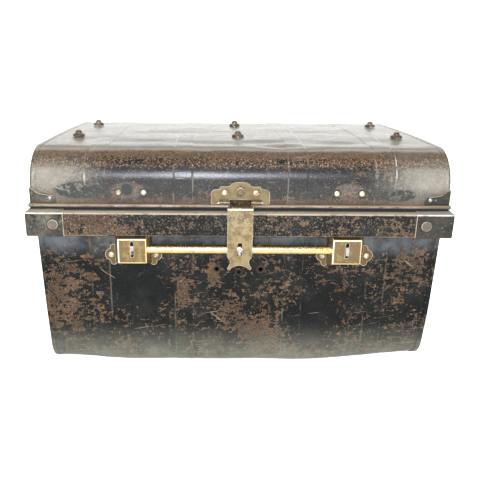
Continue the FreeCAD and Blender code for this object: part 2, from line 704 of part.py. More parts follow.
def stud_places():
    """Place and upright of each stud, square to the crowned top."""
    rise = math.sqrt(LID_CROWN_R ** 2 - STUD_Y ** 2)
    return [(Vector(x, y, crown_z + rise), Vector(0, y, rise).normalize())
            for x in (-STUD_X, 0, STUD_X) for y in (-STUD_Y, STUD_Y)]


def stud(place, upright):
    """Hat-shaped wear stud: brim, flared neck, crown with a rounded top, shank clenched under the sheet."""
    under = -SHEET - LAP_GAP
    tail_r = STUD_SHANK_R * RIVET_TAIL_SHARE
    return turned([(0, STUD_HEIGHT), (STUD_TOP_R, STUD_HEIGHT), (STUD_DOME_R, STUD_HEIGHT - STUD_SHOULDER),
                   (STUD_DOME_R + 0.4, STUD_FLANGE_H * 2), (STUD_FLANGE_R, STUD_FLANGE_H * 0.6),
                   (STUD_FLANGE_R, LAP_GAP), (STUD_SHANK_R, LAP_GAP), (STUD_SHANK_R, under),
                   (tail_r, under), (STUD_SHANK_R, under - STUD_TAIL_H), (0, under - STUD_TAIL_H)],
                  place, upright)


def lid_studs():
    return [stud(place, upright) for place, upright in stud_places()]


def old_hasp_places():
    height = BODY_HEIGHT + OLD_HASP_HEIGHT
    return [Vector(side * BOX_X + step * OLD_HASP_HALF_SPACING, -lid_half_depth, height)
            for side in (-1, 1) for step in (-1, 1)]


def old_hasp_rivets():
    """Brass rivets of two side hasps that are gone: heads straight on the lid sheet."""
    return [rivet(place - Y * LAP_GAP, -Y, BRASS_RIVET_R, BRASS_RIVET_HEAD_R, BRASS_RIVET_HEAD_H,
                  SHEET + LAP_GAP) for place in old_hasp_places()]


# ================================================================= centre hasp
def hasp_rivet_places():
    height = hasp_plate_foot + HASP_RIVET_HEIGHT
    return [Vector(x, -hasp_plate_face, height) for x in (-HASP_RIVET_X, HASP_RIVET_X)]


def hasp_boss_place():
    return Vector(0, -hasp_plate_face, hasp_plate_foot + HASP_RIVET_HEIGHT + 1.2)


def hasp_plate():
    """Bracket-shaped plate on the lid with two knuckles at its foot."""
    half = HASP_PLATE_WIDTH / 2
    foot = hasp_plate_foot
    top = foot + HASP_PLATE_HEIGHT
    back = -hasp_plate_back

    def at(x, z):
        return Vector(x, back, z)

    # Right half from the foot up: side, rounded shoulder, ledge, horn, hollow flank, middle hump.
    foot_corner = at(half, foot)
    side_top = at(half, foot + PLATE_SIDE_HEIGHT)
    shoulder = side_top + Vector(-PLATE_SHOULDER_REACH, 0, PLATE_SHOULDER_RISE)
    ledge_end = shoulder + Vector(-PLATE_LEDGE_LENGTH, 0, PLATE_LEDGE_RISE)
    horn = ledge_end + Z * PLATE_HORN_HEIGHT
    flank = horn - X * PLATE_HORN_WIDTH
    hump_foot = at(PLATE_HUMP_HALF, top - PLATE_HUMP_FOOT_DROP)
    crest = at(PLATE_CREST_HALF, top - PLATE_CREST_DROP)
    side = [Part.LineSegment(foot_corner, side_top), bowed(side_top, shoulder, PLATE_SHOULDER_BOW),
            Part.LineSegment(shoulder, ledge_end), Part.LineSegment(ledge_end, horn),
            Part.LineSegment(horn, flank), bowed(flank, hump_foot, PLATE_FLANK_BOW),
            bowed(hump_foot, crest, PLATE_HUMP_BOW), bowed(crest, at(0, top), PLATE_CREST_BOW)]
    edges = [line.toShape() for line in side]
    edges += [mirrored(edge, X) for edge in edges]
    edges.append(Part.LineSegment(at(-half, foot), at(half, foot)).toShape())
    plate = Part.Face(Part.Wire(Part.__sortEdges__(edges))).extrude(-Y * BRASS_PLATE)
    # Room for the strap's knuckle in the middle of the foot.
    room = HASP_KNUCKLE_LENGTH / 2 + KNUCKLE_SIDE_GAP
    plate = plate.cut(box(-room, room, back - 5, back + 5, foot - 1,
                          hasp_axis_z + hasp_knuckle_r + KNUCKLE_SIDE_GAP))
    outer = HASP_PIN_LENGTH / 2 - 1
    for start, end in ((-outer, -room), (room, outer)):
        eye = rod(Vector(start, hasp_axis_y, hasp_axis_z), X, end - start, hasp_knuckle_r)
        web = box(start, end, hasp_axis_y, back, hasp_axis_z, hasp_axis_z + hasp_knuckle_r)
        web = web.cut(box(start, end, hasp_axis_y - 5, -hasp_plate_face, foot, top))
        plate = plate.fuse([eye, web])
    bore = rod(Vector(-half, hasp_axis_y, hasp_axis_z), X, 2 * half, HASP_PIN_R + HASP_PIN_CLEARANCE)
    plate = plate.cut(bore).removeSplitter()
    plate = drilled(plate, hasp_rivet_places(), Y, BRASS_RIVET_R + RIVET_CLEARANCE, 8)
    return drilled(plate, [hasp_boss_place()], Y, BRASS_RIVET_R + RIVET_CLEARANCE, 8)


def hasp_boss():
    """Turned button with a raised ring, riveted through the plate and the lid."""
    grip = BRASS_PLATE + LAP_GAP + SHEET
    ring = HASP_BOSS_R
    high = HASP_BOSS_H
    shank = BRASS_RIVET_R
    return turned([(0, high), (ring * 0.45, high * 0.9), (ring * 0.62, high * 0.5),
                   (ring * 0.78, high * 0.75), (ring * 0.95, high * 0.4), (ring, 0), (shank, 0),
                   (shank, -grip), (shank * RIVET_TAIL_SHARE, -grip), (shank, -grip - shank * 0.5),
                   (0, -grip - shank * 0.5)], hasp_boss_place(), -Y)


def hasp_plate_rivets():
    grip = BRASS_PLATE + LAP_GAP + SHEET
    return [rivet(place, -Y, BRASS_RIVET_R, BRASS_RIVET_HEAD_R, BRASS_RIVET_HEAD_H, grip)
            for place in hasp_rivet_places()]


def hasp_pin():
    return rod(Vector(-HASP_PIN_LENGTH / 2, hasp_axis_y, hasp_axis_z), X, HASP_PIN_LENGTH, HASP_PIN_R)


def hasp_strap():
    """Strap: knuckle, slope out over the rim, straight leg with slot, waist and fishtail."""
    half = HASP_WIDTH / 2
    bend_z = hasp_axis_z - HASP_BEND_HEIGHT
    tip_z = hasp_axis_z - HASP_LENGTH
    slope_start = Vector(0, hasp_axis_y - 0.6, hasp_axis_z + hasp_knuckle_r - 0.1)
    side_view = [slope_start, Vector(0, strap_outer, bend_z), Vector(0, strap_outer, tip_z)]
    section = bent_sheet(side_view, [0, HASP_BEND_R, 0], HASP_SHEET, X)
    section.translate(-X * half)
    leg = section.extrude(X * 2 * half)
    front = strap_outer - 10
    above = hasp_axis_z + 2 * hasp_knuckle_r

    def at(x, z):
        return Vector(x, front, z)

    # Right half of the front outline, from the top down to the lowest point of the tip.
    neck = HASP_KNUCKLE_LENGTH / 2
    neck_foot = at(neck, hasp_axis_z - HASP_NECK_HEIGHT)
    shoulder = at(half, neck_foot.z - HASP_NECK_SLOPE)
    waist = at(HASP_WAIST_HALF, tip_z + HASP_WAIST_HEIGHT)
    step = at(half, waist.z + HASP_WAIST_SHOULDER)
    flare = at(HASP_TAIL_HALF, tip_z + HASP_TIP_HEIGHT)
    tip = at(HASP_TIP_HALF, tip_z)
    side = [Part.LineSegment(at(neck, above), neck_foot), Part.LineSegment(neck_foot, shoulder),
            Part.LineSegment(shoulder, step), bowed(step, waist, -HASP_WAIST_BOW),
            bowed(waist, flare, -HASP_TAIL_BOW), bowed(flare, tip, -HASP_TIP_BOW)]
    edges = [line.toShape() for line in side]
    edges += [mirrored(edge, X) for edge in edges]
    arch = Part.Arc(tip, at(0, tip_z + HASP_NOTCH_HEIGHT), at(-HASP_TIP_HALF, tip_z))
    edges += [arch.toShape(), Part.LineSegment(at(-neck, above), at(neck, above)).toShape()]
    stencil = Part.Face(Part.Wire(Part.__sortEdges__(edges))).extrude(Y * 40)
    eye = rod(Vector(-neck, hasp_axis_y, hasp_axis_z), X, 2 * neck, hasp_knuckle_r)
    strap = leg.common(stencil).fuse(eye)
    bore = rod(Vector(-half, hasp_axis_y, hasp_axis_z), X, 2 * half, HASP_PIN_R + HASP_PIN_CLEARANCE)
    slot_half = HASP_SLOT_WIDTH / 2
    low = bar_z - HASP_SLOT_BELOW
    high = bar_z + HASP_SLOT_ABOVE
    slot = rounded_outline([at(-slot_half, low), at(slot_half, low), at(slot_half, high),
                            at(-slot_half, high)], [0, 0, HASP_SLOT_R, HASP_SLOT_R])
    return strap.cut(bore).cut(slot.extrude(Y * 12)).removeSplitter()


# ================================================================= lock bar
def lock_bar_reach():
    """Half the bar's length: it ends just inside the outer wall of each box."""
    return BOX_X + BOX_FACE_HALF - BOX_WALL - 2.0


def lock_bar_tube():
    reach = lock_bar_reach()
    start = Vector(-reach, bar_y, bar_z)
    return rod(start, X, 2 * reach, BAR_R).cut(rod(start, X, 2 * reach, BAR_R - BAR_WALL))


def lock_bar_core():
    reach = lock_bar_reach()
    return rod(Vector(-reach, bar_y, bar_z), X, 2 * reach, BAR_R - BAR_WALL - BAR_CORE_GAP)


def lock_bar_lugs():
    """Three tabs brazed to the front of the bar: one for the hasp, one for each box slot."""
    lugs = []
    for x in (-BOX_X, 0, BOX_X):
        half = LUG_THICKNESS / 2
        tab = box(x - half, x + half, lug_tip, bar_y, bar_z - LUG_HALF_HEIGHT, bar_z + LUG_HALF_HEIGHT)
        tip = [edge for edge in tab.Edges if edge.BoundBox.XLength > 1
               and abs(edge.BoundBox.YMin - lug_tip) < 0.01]
        tab = tab.makeFillet(1.8, tip)
        lugs.append(tab.cut(rod(Vector(x - half, bar_y, bar_z), X, LUG_THICKNESS, BAR_R)))
    return lugs


def box_ring(inset, y, spread):
    """Rounded rectangle round the lock box at depth y; spread is 0 at the face and 1 at the foot."""
    left = -BOX_FACE_HALF - spread * BOX_FOOT_SPREAD + inset
    right = -left
    low = bar_z - BOX_FACE_BELOW - spread * BOX_BOTTOM_SPREAD + inset
    high = bar_z + BOX_FACE_ABOVE + spread * BOX_TOP_SPREAD - inset
    corners = [Vector(left, y, low), Vector(right, y, low), Vector(right, y, high), Vector(left, y, high)]
    radius = max(BOX_CORNER_R - inset, 0.3)
    return Part.Wire(Part.__sortEdges__(rounded_edges(corners, [radius] * 4, closed=True)))


def ear_outline(y):
    """Foot plate: rectangle under the box with a lobed ear on each side."""
    low = bar_z - BOX_FACE_BELOW - BOX_BOTTOM_SPREAD
    high = bar_z + BOX_FACE_ABOVE + BOX_TOP_SPREAD
    foot = BOX_FACE_HALF + BOX_FOOT_SPREAD
    ear_z = bar_z - EAR_RIVET_DROP
    plate = outline([Vector(-foot, y, low), Vector(foot, y, low), Vector(foot, y, high),
                     Vector(-foot, y, high)])
    lobes = []
    for sign in (-1, 1):
        lobes.append(Part.Face(Part.Wire(Part.makeCircle(EAR_R, Vector(sign * EAR_RIVET_X, y, ear_z), Y))))
        for side in (-1, 1):
            small = Vector(sign * (foot + 2.5), y, ear_z + side * (EAR_R + 1.5))
            lobes.append(Part.Face(Part.Wire(Part.makeCircle(EAR_SCALLOP_R, small, Y))))
    solids = [face.extrude(Y * BRASS_PLATE) for face in [plate] + lobes]
    return joined(solids)


def ear_rivet_places():
    height = bar_z - EAR_RIVET_DROP
    return [Vector(side * BOX_X + step * EAR_RIVET_X, ear_face, height)
            for side in (-1, 1) for step in (-1, 1)]


def lock_box(centre):
    """Pressed brass box with flared sides, open towards the body, with a lug slot in its face."""
    outside = Part.makeLoft([box_ring(0, box_face, 0), box_ring(0, ear_face, 1)], True, True)
    inside = Part.makeLoft([box_ring(BOX_WALL, box_face + BOX_WALL, 0), box_ring(BOX_WALL, ear_face, 1)],
                           True, True)
    shell = joined([outside, ear_outline(ear_face)])
    room = Part.Face(box_ring(BOX_WALL, ear_face, 1)).extrude(Y * 2 * BRASS_PLATE)
    shell = shell.cut(inside).cut(room)
    half = BOX_SLOT_WIDTH / 2
    front = box_face - 2
    low = bar_z - BOX_SLOT_BELOW
    high = bar_z + BOX_SLOT_ABOVE
    slot = rounded_outline([Vector(-half, front, low), Vector(half, front, low), Vector(half, front, high),
                            Vector(-half, front, high)], [half * 0.9] * 4).extrude(Y * 5)
    # The bar comes in through the side that faces the hasp.
    inward = -1 if centre > 0 else 1
    bearing = rod(Vector(0, bar_y, bar_z), X * inward, BOX_FACE_HALF + 20, BAR_R + BAR_RUNNING_CLEARANCE)
    shell = shell.cut(slot).cut(bearing)
    shell.translate(X * centre)
    return drilled(shell, ear_rivet_places(), Y, BRASS_RIVET_R + RIVET_CLEARANCE, 8)


def lock_box_rivets():
    grip = BRASS_PLATE + LAP_GAP + SWAGE_HEIGHT + SHEET
    return [rivet(place, -Y, BRASS_RIVET_R, BRASS_RIVET_HEAD_R, BRASS_RIVET_HEAD_H, grip)
            for place in ear_rivet_places()]


# ================================================================= rear hinges
def hinge_body_places():
    face = rim_half_depth + LAP_GAP + HINGE_SHEET
    height = hinge_z - HINGE_BODY_LEAF + 9.0
    return [Vector(side * HINGE_X + step * HINGE_RIVET_HALF_SPACING, face, height)
            for side in (-1, 1) for step in (-1, 1)]


def hinge_lid_places():
    face = lid_half_depth + LAP_GAP + HINGE_SHEET
    height = hinge_z + HINGE_LID_LEAF - 9.0
    return [Vector(side * HINGE_X + step * HINGE_RIVET_HALF_SPACING, face, height)
            for side in (-1, 1) for step in (-1, 1)]


def hinge_axis(x):
    return Vector(x, hinge_y, hinge_z)


def hinge_bore(start, length):
    return rod(hinge_axis(start), X, length, HINGE_PIN_R + HINGE_PIN_CLEARANCE)


def hinge_body_leaf(centre):
    """Leaf on the back of the rim with the two outer knuckles."""
    half = HINGE_LENGTH / 2
    inner = rim_half_depth + LAP_GAP
    leaf = box(centre - half, centre + half, inner, inner + HINGE_SHEET, hinge_z - HINGE_BODY_LEAF, hinge_z)
    gap = HINGE_MIDDLE_KNUCKLE / 2 + KNUCKLE_SIDE_GAP
    room = hinge_knuckle_r + KNUCKLE_SIDE_GAP
    leaf = leaf.cut(box(centre - gap, centre + gap, inner - 1, inner + 5, hinge_z - room, hinge_z + 1))
    pieces = [leaf]
    for start in (centre - half, centre + gap):
        length = half - gap
        pieces.append(rod(hinge_axis(start), X, length, hinge_knuckle_r))
        pieces.append(box(start, start + length, inner, hinge_y, hinge_z - hinge_knuckle_r, hinge_z))
    leaf = joined(pieces).cut(hinge_bore(centre - half, HINGE_LENGTH))
    return drilled(leaf, hinge_body_places(), Y, HINGE_RIVET_R + RIVET_CLEARANCE, 8)


def hinge_lid_leaf(centre):
    """Cranked leaf: flat on the lid's back, then down at 45 degrees over the rolled edge to its knuckle."""
    half = HINGE_LENGTH / 2
    narrow = HINGE_MIDDLE_KNUCKLE / 2
    outer = lid_half_depth + LAP_GAP + HINGE_SHEET
    tangent = hinge_knuckle_r / math.sqrt(2)
    landing = Vector(0, hinge_y + tangent, hinge_z + tangent)
    bend = Vector(0, outer, landing.z + (landing.y - outer))
    top = Vector(0, outer, hinge_z + HINGE_LID_LEAF)
    section = bent_sheet([landing, bend, top], [0, HINGE_BEND_R, 0], HINGE_SHEET, X)
    section.translate(X * (centre - half))
    leaf = section.extrude(X * HINGE_LENGTH)
    # The leaf narrows to the middle knuckle below its bend.
    for start in (centre - half - 1, centre + narrow):
        width = half - narrow + 1
        leaf = leaf.cut(box(start, start + width, 0, hinge_y + 20, hinge_z - 20, bend.z + 2))
    knuckle = rod(hinge_axis(centre - narrow), X, 2 * narrow, hinge_knuckle_r)
    leaf = joined([leaf, knuckle]).cut(hinge_bore(centre - half, HINGE_LENGTH))
    return drilled(leaf, hinge_lid_places(), Y, HINGE_RIVET_R + RIVET_CLEARANCE, 8)


def hinge_pin(centre):
    """Pin with a small head at each end."""
    half = HINGE_LENGTH / 2
    pin = rod(hinge_axis(centre - half), X, HINGE_LENGTH, HINGE_PIN_R)
    heads = [rod(hinge_axis(centre - half - 1.2), X, 1.1, HINGE_PIN_R + 0.9),
             rod(hinge_axis(centre + half + 0.1), X, 1.1, HINGE_PIN_R + 0.9),
             rod(hinge_axis(centre - half - 1.2), X, HINGE_LENGTH + 2.4, HINGE_PIN_R)]
    return joined([pin] + heads)


def hinge_body_rivets():
    grip = HINGE_SHEET + LAP_GAP + SHEET
    return [rivet(place, Y, HINGE_RIVET_R, HINGE_RIVET_HEAD_R, HINGE_RIVET_HEAD_H, grip)
            for place in hinge_body_places()]


def hinge_lid_rivets():
    grip = HINGE_SHEET + LAP_GAP + SHEET
    return [rivet(place, Y, HINGE_RIVET_R, HINGE_RIVET_HEAD_R, HINGE_RIVET_HEAD_H, grip)
            for place in hinge_lid_places()]


# ================================================================= end handles
eye_bore_r = BAIL_R + EYE_CLEARANCE
bail_x = end_wall(HANDLE_HEIGHT + EYE_PLATE_REACH) + LAP_GAP + EYE_SHEET + eye_bore_r
eye_face_x = bail_x - eye_bore_r


def eye_rivet_spots():
    """(y, z) of the rivets through each end."""
    return [(side * HANDLE_SPAN / 2, HANDLE_HEIGHT + step * EYE_RIVET_REACH)
            for side in (-1, 1) for step in (-1, 1)]


def handle_eye(y):
    """Strap eye on the right-hand end: upright plate with a loop that holds the bail's end."""
    half = EYE_LENGTH / 2
    low = HANDLE_HEIGHT - EYE_PLATE_REACH
    high = HANDLE_HEIGHT + EYE_PLATE_REACH
    # The plate's back follows the leaning end, its face is upright.
    near = y - half
    side_view = outline([Vector(end_wall(low) + LAP_GAP, near, low), Vector(eye_face_x, near, low),
                         Vector(eye_face_x, near, high), Vector(end_wall(high) + LAP_GAP, near, high)])
    plate = side_view.extrude(Y * EYE_LENGTH)
    ends = [edge for edge in plate.Edges
            if edge.BoundBox.XLength > 1 and edge.BoundBox.YLength + edge.BoundBox.ZLength < 0.01]
    plate = plate.makeFillet(half - 0.5, ends)
    loop_start = Vector(bail_x, y - half, HANDLE_HEIGHT)
    loop = rod(loop_start, Y, EYE_LENGTH, eye_bore_r + EYE_SHEET)
    loop = loop.fuse(box(eye_face_x - 0.5, bail_x, y - half, y + half,
                         HANDLE_HEIGHT - eye_bore_r - EYE_SHEET, HANDLE_HEIGHT + eye_bore_r + EYE_SHEET))
    loop = loop.cut(box(0, eye_face_x - 0.4, y - half, y + half, low, high))
    eye = joined([plate, loop]).cut(rod(loop_start, Y, EYE_LENGTH, eye_bore_r))
    places = [Vector(eye_face_x, spot_y, z) for spot_y, z in eye_rivet_spots()]
    return drilled(eye, places, X, EYE_RIVET_R + RIVET_CLEARANCE, 10)


def handle_rivets():
    rivets = []
    for y, z in eye_rivet_spots():
        grip = eye_face_x - end_wall(z) + SHEET * math.hypot(1, lean) + 0.1
        place = Vector(eye_face_x, y, z)
        rivets.append(rivet(place, X, EYE_RIVET_R, EYE_RIVET_HEAD_R, EYE_RIVET_HEAD_H, grip))
    return rivets + [mirrored(shape, X) for shape in rivets]


def handle_bail():
    """Wire bail of the right-hand end, hanging: two in-turned ends, two legs, straight grip."""
    half = HANDLE_SPAN / 2
    leg_y = half + EYE_LENGTH / 2 + EYE_SIDE_GAP + BAIL_R
    knee = Vector(bail_x, leg_y, HANDLE_HEIGHT)
    corner = Vector(bail_x, leg_y - BAIL_DRAW_IN, HANDLE_HEIGHT - BAIL_DROP)
    points = [knee, corner, Vector(bail_x, -corner.y, corner.z), Vector(bail_x, -knee.y, knee.z)]
    pieces = []
    for edge in rounded_edges(points, [0, BAIL_BEND_R, BAIL_BEND_R, 0]):
        start = edge.valueAt(edge.FirstParameter)
        tangent = edge.tangentAt(edge.FirstParameter)
        disc = Part.Face(Part.Wire(Part.makeCircle(BAIL_R, start, tangent)))
        if edge.Curve.TypeId == "Part::GeomLine":
            pieces.append(disc.extrude(edge.valueAt(edge.LastParameter) - start))
        else:
            centre = edge.Curve.Center
            sweep = edge.Length / edge.Curve.Radius
            pieces.append(disc.revolve(centre, (start - centre).cross(tangent), math.degrees(sweep)))
    # Each end turns in square through its eye. The mitre at the knee is what both rods share past it.
    tail_length = leg_y - half + BAIL_TAIL
    up = (knee - corner).normalize()
    tail = rod(Vector(bail_x, half - BAIL_TAIL, HANDLE_HEIGHT), Y, tail_length, BAIL_R)
    past_tail = rod(knee - Y * BAIL_R, Y, 2 * BAIL_R, BAIL_R)
    past_leg = rod(knee - up * BAIL_R, up, 2 * BAIL_R, BAIL_R)
    mitre = past_tail.common(past_leg)
    return joined(pieces + [tail, mitre, mirrored(tail, Y), mirrored(mitre, Y)])


# ================================================================= all pieces
def pieces():
    """Name and shape of every piece."""
    end = body_end()
    lid_pan = lid_end()
    cap = rim_cap()
    patch = lid_corner_patch()
    eyes = [handle_eye(-HANDLE_SPAN / 2), handle_eye(HANDLE_SPAN / 2)]
    bail = handle_bail()
    parts = {
        "body_wrap": body_wrap(),
        "body_end_right": end,
        "body_end_left": mirrored(end, X),
        "rim_channel": rim_channel(),
        "rim_cap_rivets": rim_cap_rivets(),
        "lock_box_left": lock_box(-BOX_X),
        "lock_box_right": lock_box(BOX_X),
        "lock_box_rivets": lock_box_rivets(),
        "lid_wrap": lid_wrap(),
        "lid_end_right": lid_pan,
        "lid_end_left": mirrored(lid_pan, X),
        "lid_rolled_edge": lid_rolled_edge(),
        "lid_edge_wire": rolled_edge_core(EDGE_WIRE_R),
        "lid_corner_rivets": lid_corner_rivets(),
        "lid_studs": lid_studs(),
        "old_hasp_rivets": old_hasp_rivets(),
        "hasp_plate": hasp_plate(),
        "hasp_boss": hasp_boss(),
        "hasp_plate_rivets": hasp_plate_rivets(),
        "hasp_pin": hasp_pin(),
        "hasp_strap": hasp_strap(),
        "lock_bar_tube": lock_bar_tube(),
        "lock_bar_core": lock_bar_core(),
        "lock_bar_lugs": lock_bar_lugs(),
        "hinge_body_rivets": hinge_body_rivets(),
        "hinge_lid_rivets": hinge_lid_rivets(),
        "handle_eyes_right": eyes,
        "handle_eyes_left": [mirrored(eye, X) for eye in eyes],
        "handle_rivets": handle_rivets(),
        "handle_bail_right": bail,
        "handle_bail_left": mirrored(bail, X),
    }
    for side, centre in (("left", -HINGE_X), ("right", HINGE_X)):
        parts[f"hinge_body_leaf_{side}"] = hinge_body_leaf(centre)
        parts[f"hinge_lid_leaf_{side}"] = hinge_lid_leaf(centre)
        parts[f"hinge_pin_{side}"] = hinge_pin(centre)
    for name, shape in (("rim_cap", cap), ("lid_corner", patch)):
        parts[f"{name}_front_right"] = shape
        parts[f"{name}_front_left"] = mirrored(shape, X)
        parts[f"{name}_rear_right"] = mirrored(shape, Y)
        parts[f"{name}_rear_left"] = mirrored(mirrored(shape, X), Y)
    return parts


def main():
    os.makedirs("parts", exist_ok=True)
    for name, shape in pieces().items():
        solids = shape if isinstance(shape, list) else shape.Solids
        whole = Part.makeCompound(solids) if len(solids) > 1 else solids[0]
        if not whole.isValid():
            raise ValueError(f"{name} is not a valid solid")
        whole.exportStep(f"parts/{name}.step")
        print(f"{name}: {len(solids)} solid(s), {whole.Volume / 1000:.2f} cm3, "
              f"{len(whole.Faces)} faces")


main()
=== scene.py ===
import json
import math

import bmesh
import bpy
import numpy as np
from bpy.props import FloatProperty, FloatVectorProperty, PointerProperty
from mathutils import Matrix, Vector

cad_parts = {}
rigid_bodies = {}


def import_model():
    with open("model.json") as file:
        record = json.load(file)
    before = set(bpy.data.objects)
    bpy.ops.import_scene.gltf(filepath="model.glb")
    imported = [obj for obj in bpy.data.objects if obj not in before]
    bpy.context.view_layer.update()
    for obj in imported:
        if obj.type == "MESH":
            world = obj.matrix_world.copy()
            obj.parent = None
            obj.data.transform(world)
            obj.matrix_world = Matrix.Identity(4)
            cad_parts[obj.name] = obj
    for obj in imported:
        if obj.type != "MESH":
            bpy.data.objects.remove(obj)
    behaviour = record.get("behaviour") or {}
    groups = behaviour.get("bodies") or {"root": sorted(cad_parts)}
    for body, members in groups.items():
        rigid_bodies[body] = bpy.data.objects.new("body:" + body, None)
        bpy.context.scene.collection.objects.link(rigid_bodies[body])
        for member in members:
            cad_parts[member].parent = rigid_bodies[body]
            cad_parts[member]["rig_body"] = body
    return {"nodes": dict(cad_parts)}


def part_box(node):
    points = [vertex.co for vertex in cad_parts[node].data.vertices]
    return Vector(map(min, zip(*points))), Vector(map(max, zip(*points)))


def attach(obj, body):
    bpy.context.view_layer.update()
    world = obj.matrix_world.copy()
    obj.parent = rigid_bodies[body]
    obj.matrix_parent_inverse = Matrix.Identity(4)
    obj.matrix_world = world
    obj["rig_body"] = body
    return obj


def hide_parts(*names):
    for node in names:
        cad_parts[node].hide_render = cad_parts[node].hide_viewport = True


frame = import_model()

bl_info = {
    "name": "Tin Trunk Dresser",
    "version": (1, 0, 0),
    "blender": (4, 5, 0),
    "location": "3D View > Sidebar > Tin Trunk",
    "description": ("Dresses a japanned tin trunk: dented sheets, folded rim, brass lock work and "
                    "worn finishes"),
    "category": "Add Mesh",
}

MM = 0.001
SIDES = ("left", "right")
CORNERS = tuple(f"{depth}_{side}" for depth in ("front", "rear") for side in SIDES)
SIGN = {"left": -1, "right": 1, "front": -1, "rear": 1}
SHARP = math.radians(35)         # sharper edges stay hard in the shading

# Places in metres: x runs to the right, y to the rear and z up from the floor.
SWAGES = (-0.207, -0.082, 0.082, 0.207)                 # middles of the rolled bands
BAND_FOOT = 0.0138                                      # fine line from a band's middle
FLOOR_SHARE = 0.35                                      # of a band's height, left on the floor
STUDS = [(x, y) for x in (-0.255, 0, 0.255) for y in (-0.0805, 0.0805)]
HOLES = ((-0.033, 0.1665, 0.00275), (0.033, 0.1665, 0.00275), (0.0, 0.1617, 0.0018))
LOCK_X = 0.1565                                         # lock boxes, and the lost hasps above them
EAR_STEP, PLATE_STEP = 0.0325, 0.0223                   # rivets from the middle of a box, of the plate
LOST_RIVET_STEP, LOST_RIVET_Y, LOST_RIVET_Z = 0.018, -0.2041, 0.2845
HINGE_X, HINGE_STEP = 0.1445, 0.021
HANDLE_Y, HANDLE_Z, HANDLE_STEP = 0.052, 0.172, 0.017
BODY_HALF_DEPTH, LID_HALF_DEPTH = 0.200, 0.204
BODY_HALF_WIDTH, LID_HALF_WIDTH = 0.2972, 0.3008        # under the rim, and at the lid's foot
PAN_FOLD = 0.0088                                       # an end pan's lap over its wrapped sheet
RIM_FOOT, RIM_SHOULDER, RIM_DEPTH = 0.221, 0.2546, 0.0102
RIM_SLOPE = 8.5 / 10.2                                  # rise of the shoulder for each unit inwards
CAP_LEG, CAP_GAUGE = 0.054, 0.0009
CAP_RIVET_Z, CAP_RIVET_RUN = 0.2385, 0.040
PATCH_X, PATCH_Y, PATCH_LEG, PATCH_RIVET_RUN = 0.3018, 0.206, 0.037, 0.029
LID_LEAN_START, LID_ARC_RISE = 0.2904, 0.0328           # height of the lean's start; bend centre over edge
BRASS_HEAD, IRON_HEAD = 0.0024, 0.0018                  # heights of rivet heads

_, high_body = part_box("body_wrap")
_, high_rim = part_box("rim_channel")
low_edge, high_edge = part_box("lid_rolled_edge")
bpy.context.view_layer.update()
edge_height = (low_edge.z + high_edge.z) / 2
cap_x, cap_y = high_rim.x + 0.001, high_rim.y + 0.001


# ---------------------------------------------------------------- what a user may change
def length_setting(name, description, default):
    """A length that the user may change."""
    return FloatProperty(name=name, description=description, default=default, unit="LENGTH")


def colour_setting(name, description, default):
    """A colour that the user may change."""
    return FloatVectorProperty(name=name, description=description, subtype="COLOR", size=3, min=0, max=1,
                               default=default)


class TrunkShape(bpy.types.PropertyGroup):
    """Sizes of the sheets and how far use has knocked them about."""
    gauge: length_setting("Sheet gauge", "Thickness of the tinned sheet", 0.9 * MM)
    swage: length_setting("Swage height", "How far the rolled bands stand out", 0.9 * MM)
    swage_width: length_setting("Swage width", "Width of a band over its feet", 30 * MM)
    ramp: length_setting("Swage ramp", "Width of a band's sloping edge", 3.0 * MM)
    floor_bend: length_setting("Lower bend", "Radius of the body's lower edges", 35 * MM)
    lid_bend: length_setting("Lid bend", "Radius of the lid's front and rear edges", 48 * MM)
    crown: length_setting("Crown", "Radius of the lid's top from front to rear", 3.3)
    lean: FloatProperty(name="Body end lean", default=6.5 / 221,
                        description="Sideways run of a body end for each unit of height")
    lid_lean: FloatProperty(name="Lid end lean", default=3.4 / 59,
                            description="Inward run of a lid end for each unit of height")
    knock: length_setting("Knocked corners", "How far the lower front corners are beaten up", 12 * MM)
    dents: FloatProperty(name="Dents", description="Strength of the dents and ripples of use",
                         default=1.0, min=0.0, max=2.0)
    softening: length_setting("Edge softening", "Bevel on the edges of the brass and iron", 0.3 * MM)


class TrunkFinish(bpy.types.PropertyGroup):
    """Colours of varnish, rust, dust and metal, and the amount of wear."""
    japan: colour_setting("Japan", "Black stoved varnish", (0.0036, 0.0040, 0.0037))
    film: colour_setting("Film", "Varnish gone grey", (0.015, 0.0165, 0.015))
    rust: colour_setting("Rust", "Brown metal where the varnish has flaked", (0.060, 0.034, 0.0205))
    fresh: colour_setting("Fresh rust", "Orange spots in the brown", (0.19, 0.094, 0.043))
    tan: colour_setting("Tan", "Scraped metal at the rims of flakes and in scratches", (0.29, 0.22, 0.14))
    dust: colour_setting("Dust", "Dull grey-beige haze on rubbed varnish", (0.30, 0.275, 0.225))
    pale: colour_setting("Bare tin", "Tinplate rubbed bare", (0.36, 0.32, 0.25))
    brass: colour_setting("Brass", "Rubbed brass", (0.52, 0.37, 0.15))
    dull: colour_setting("Dull brass", "Brass gone olive grey", (0.36, 0.31, 0.19))
    patina: colour_setting("Patina", "Brown tarnish on the brass", (0.11, 0.066, 0.028))
    wear: FloatProperty(name="Wear", description="How much of the varnish has gone",
                        default=0.0, min=-0.3, max=0.3)


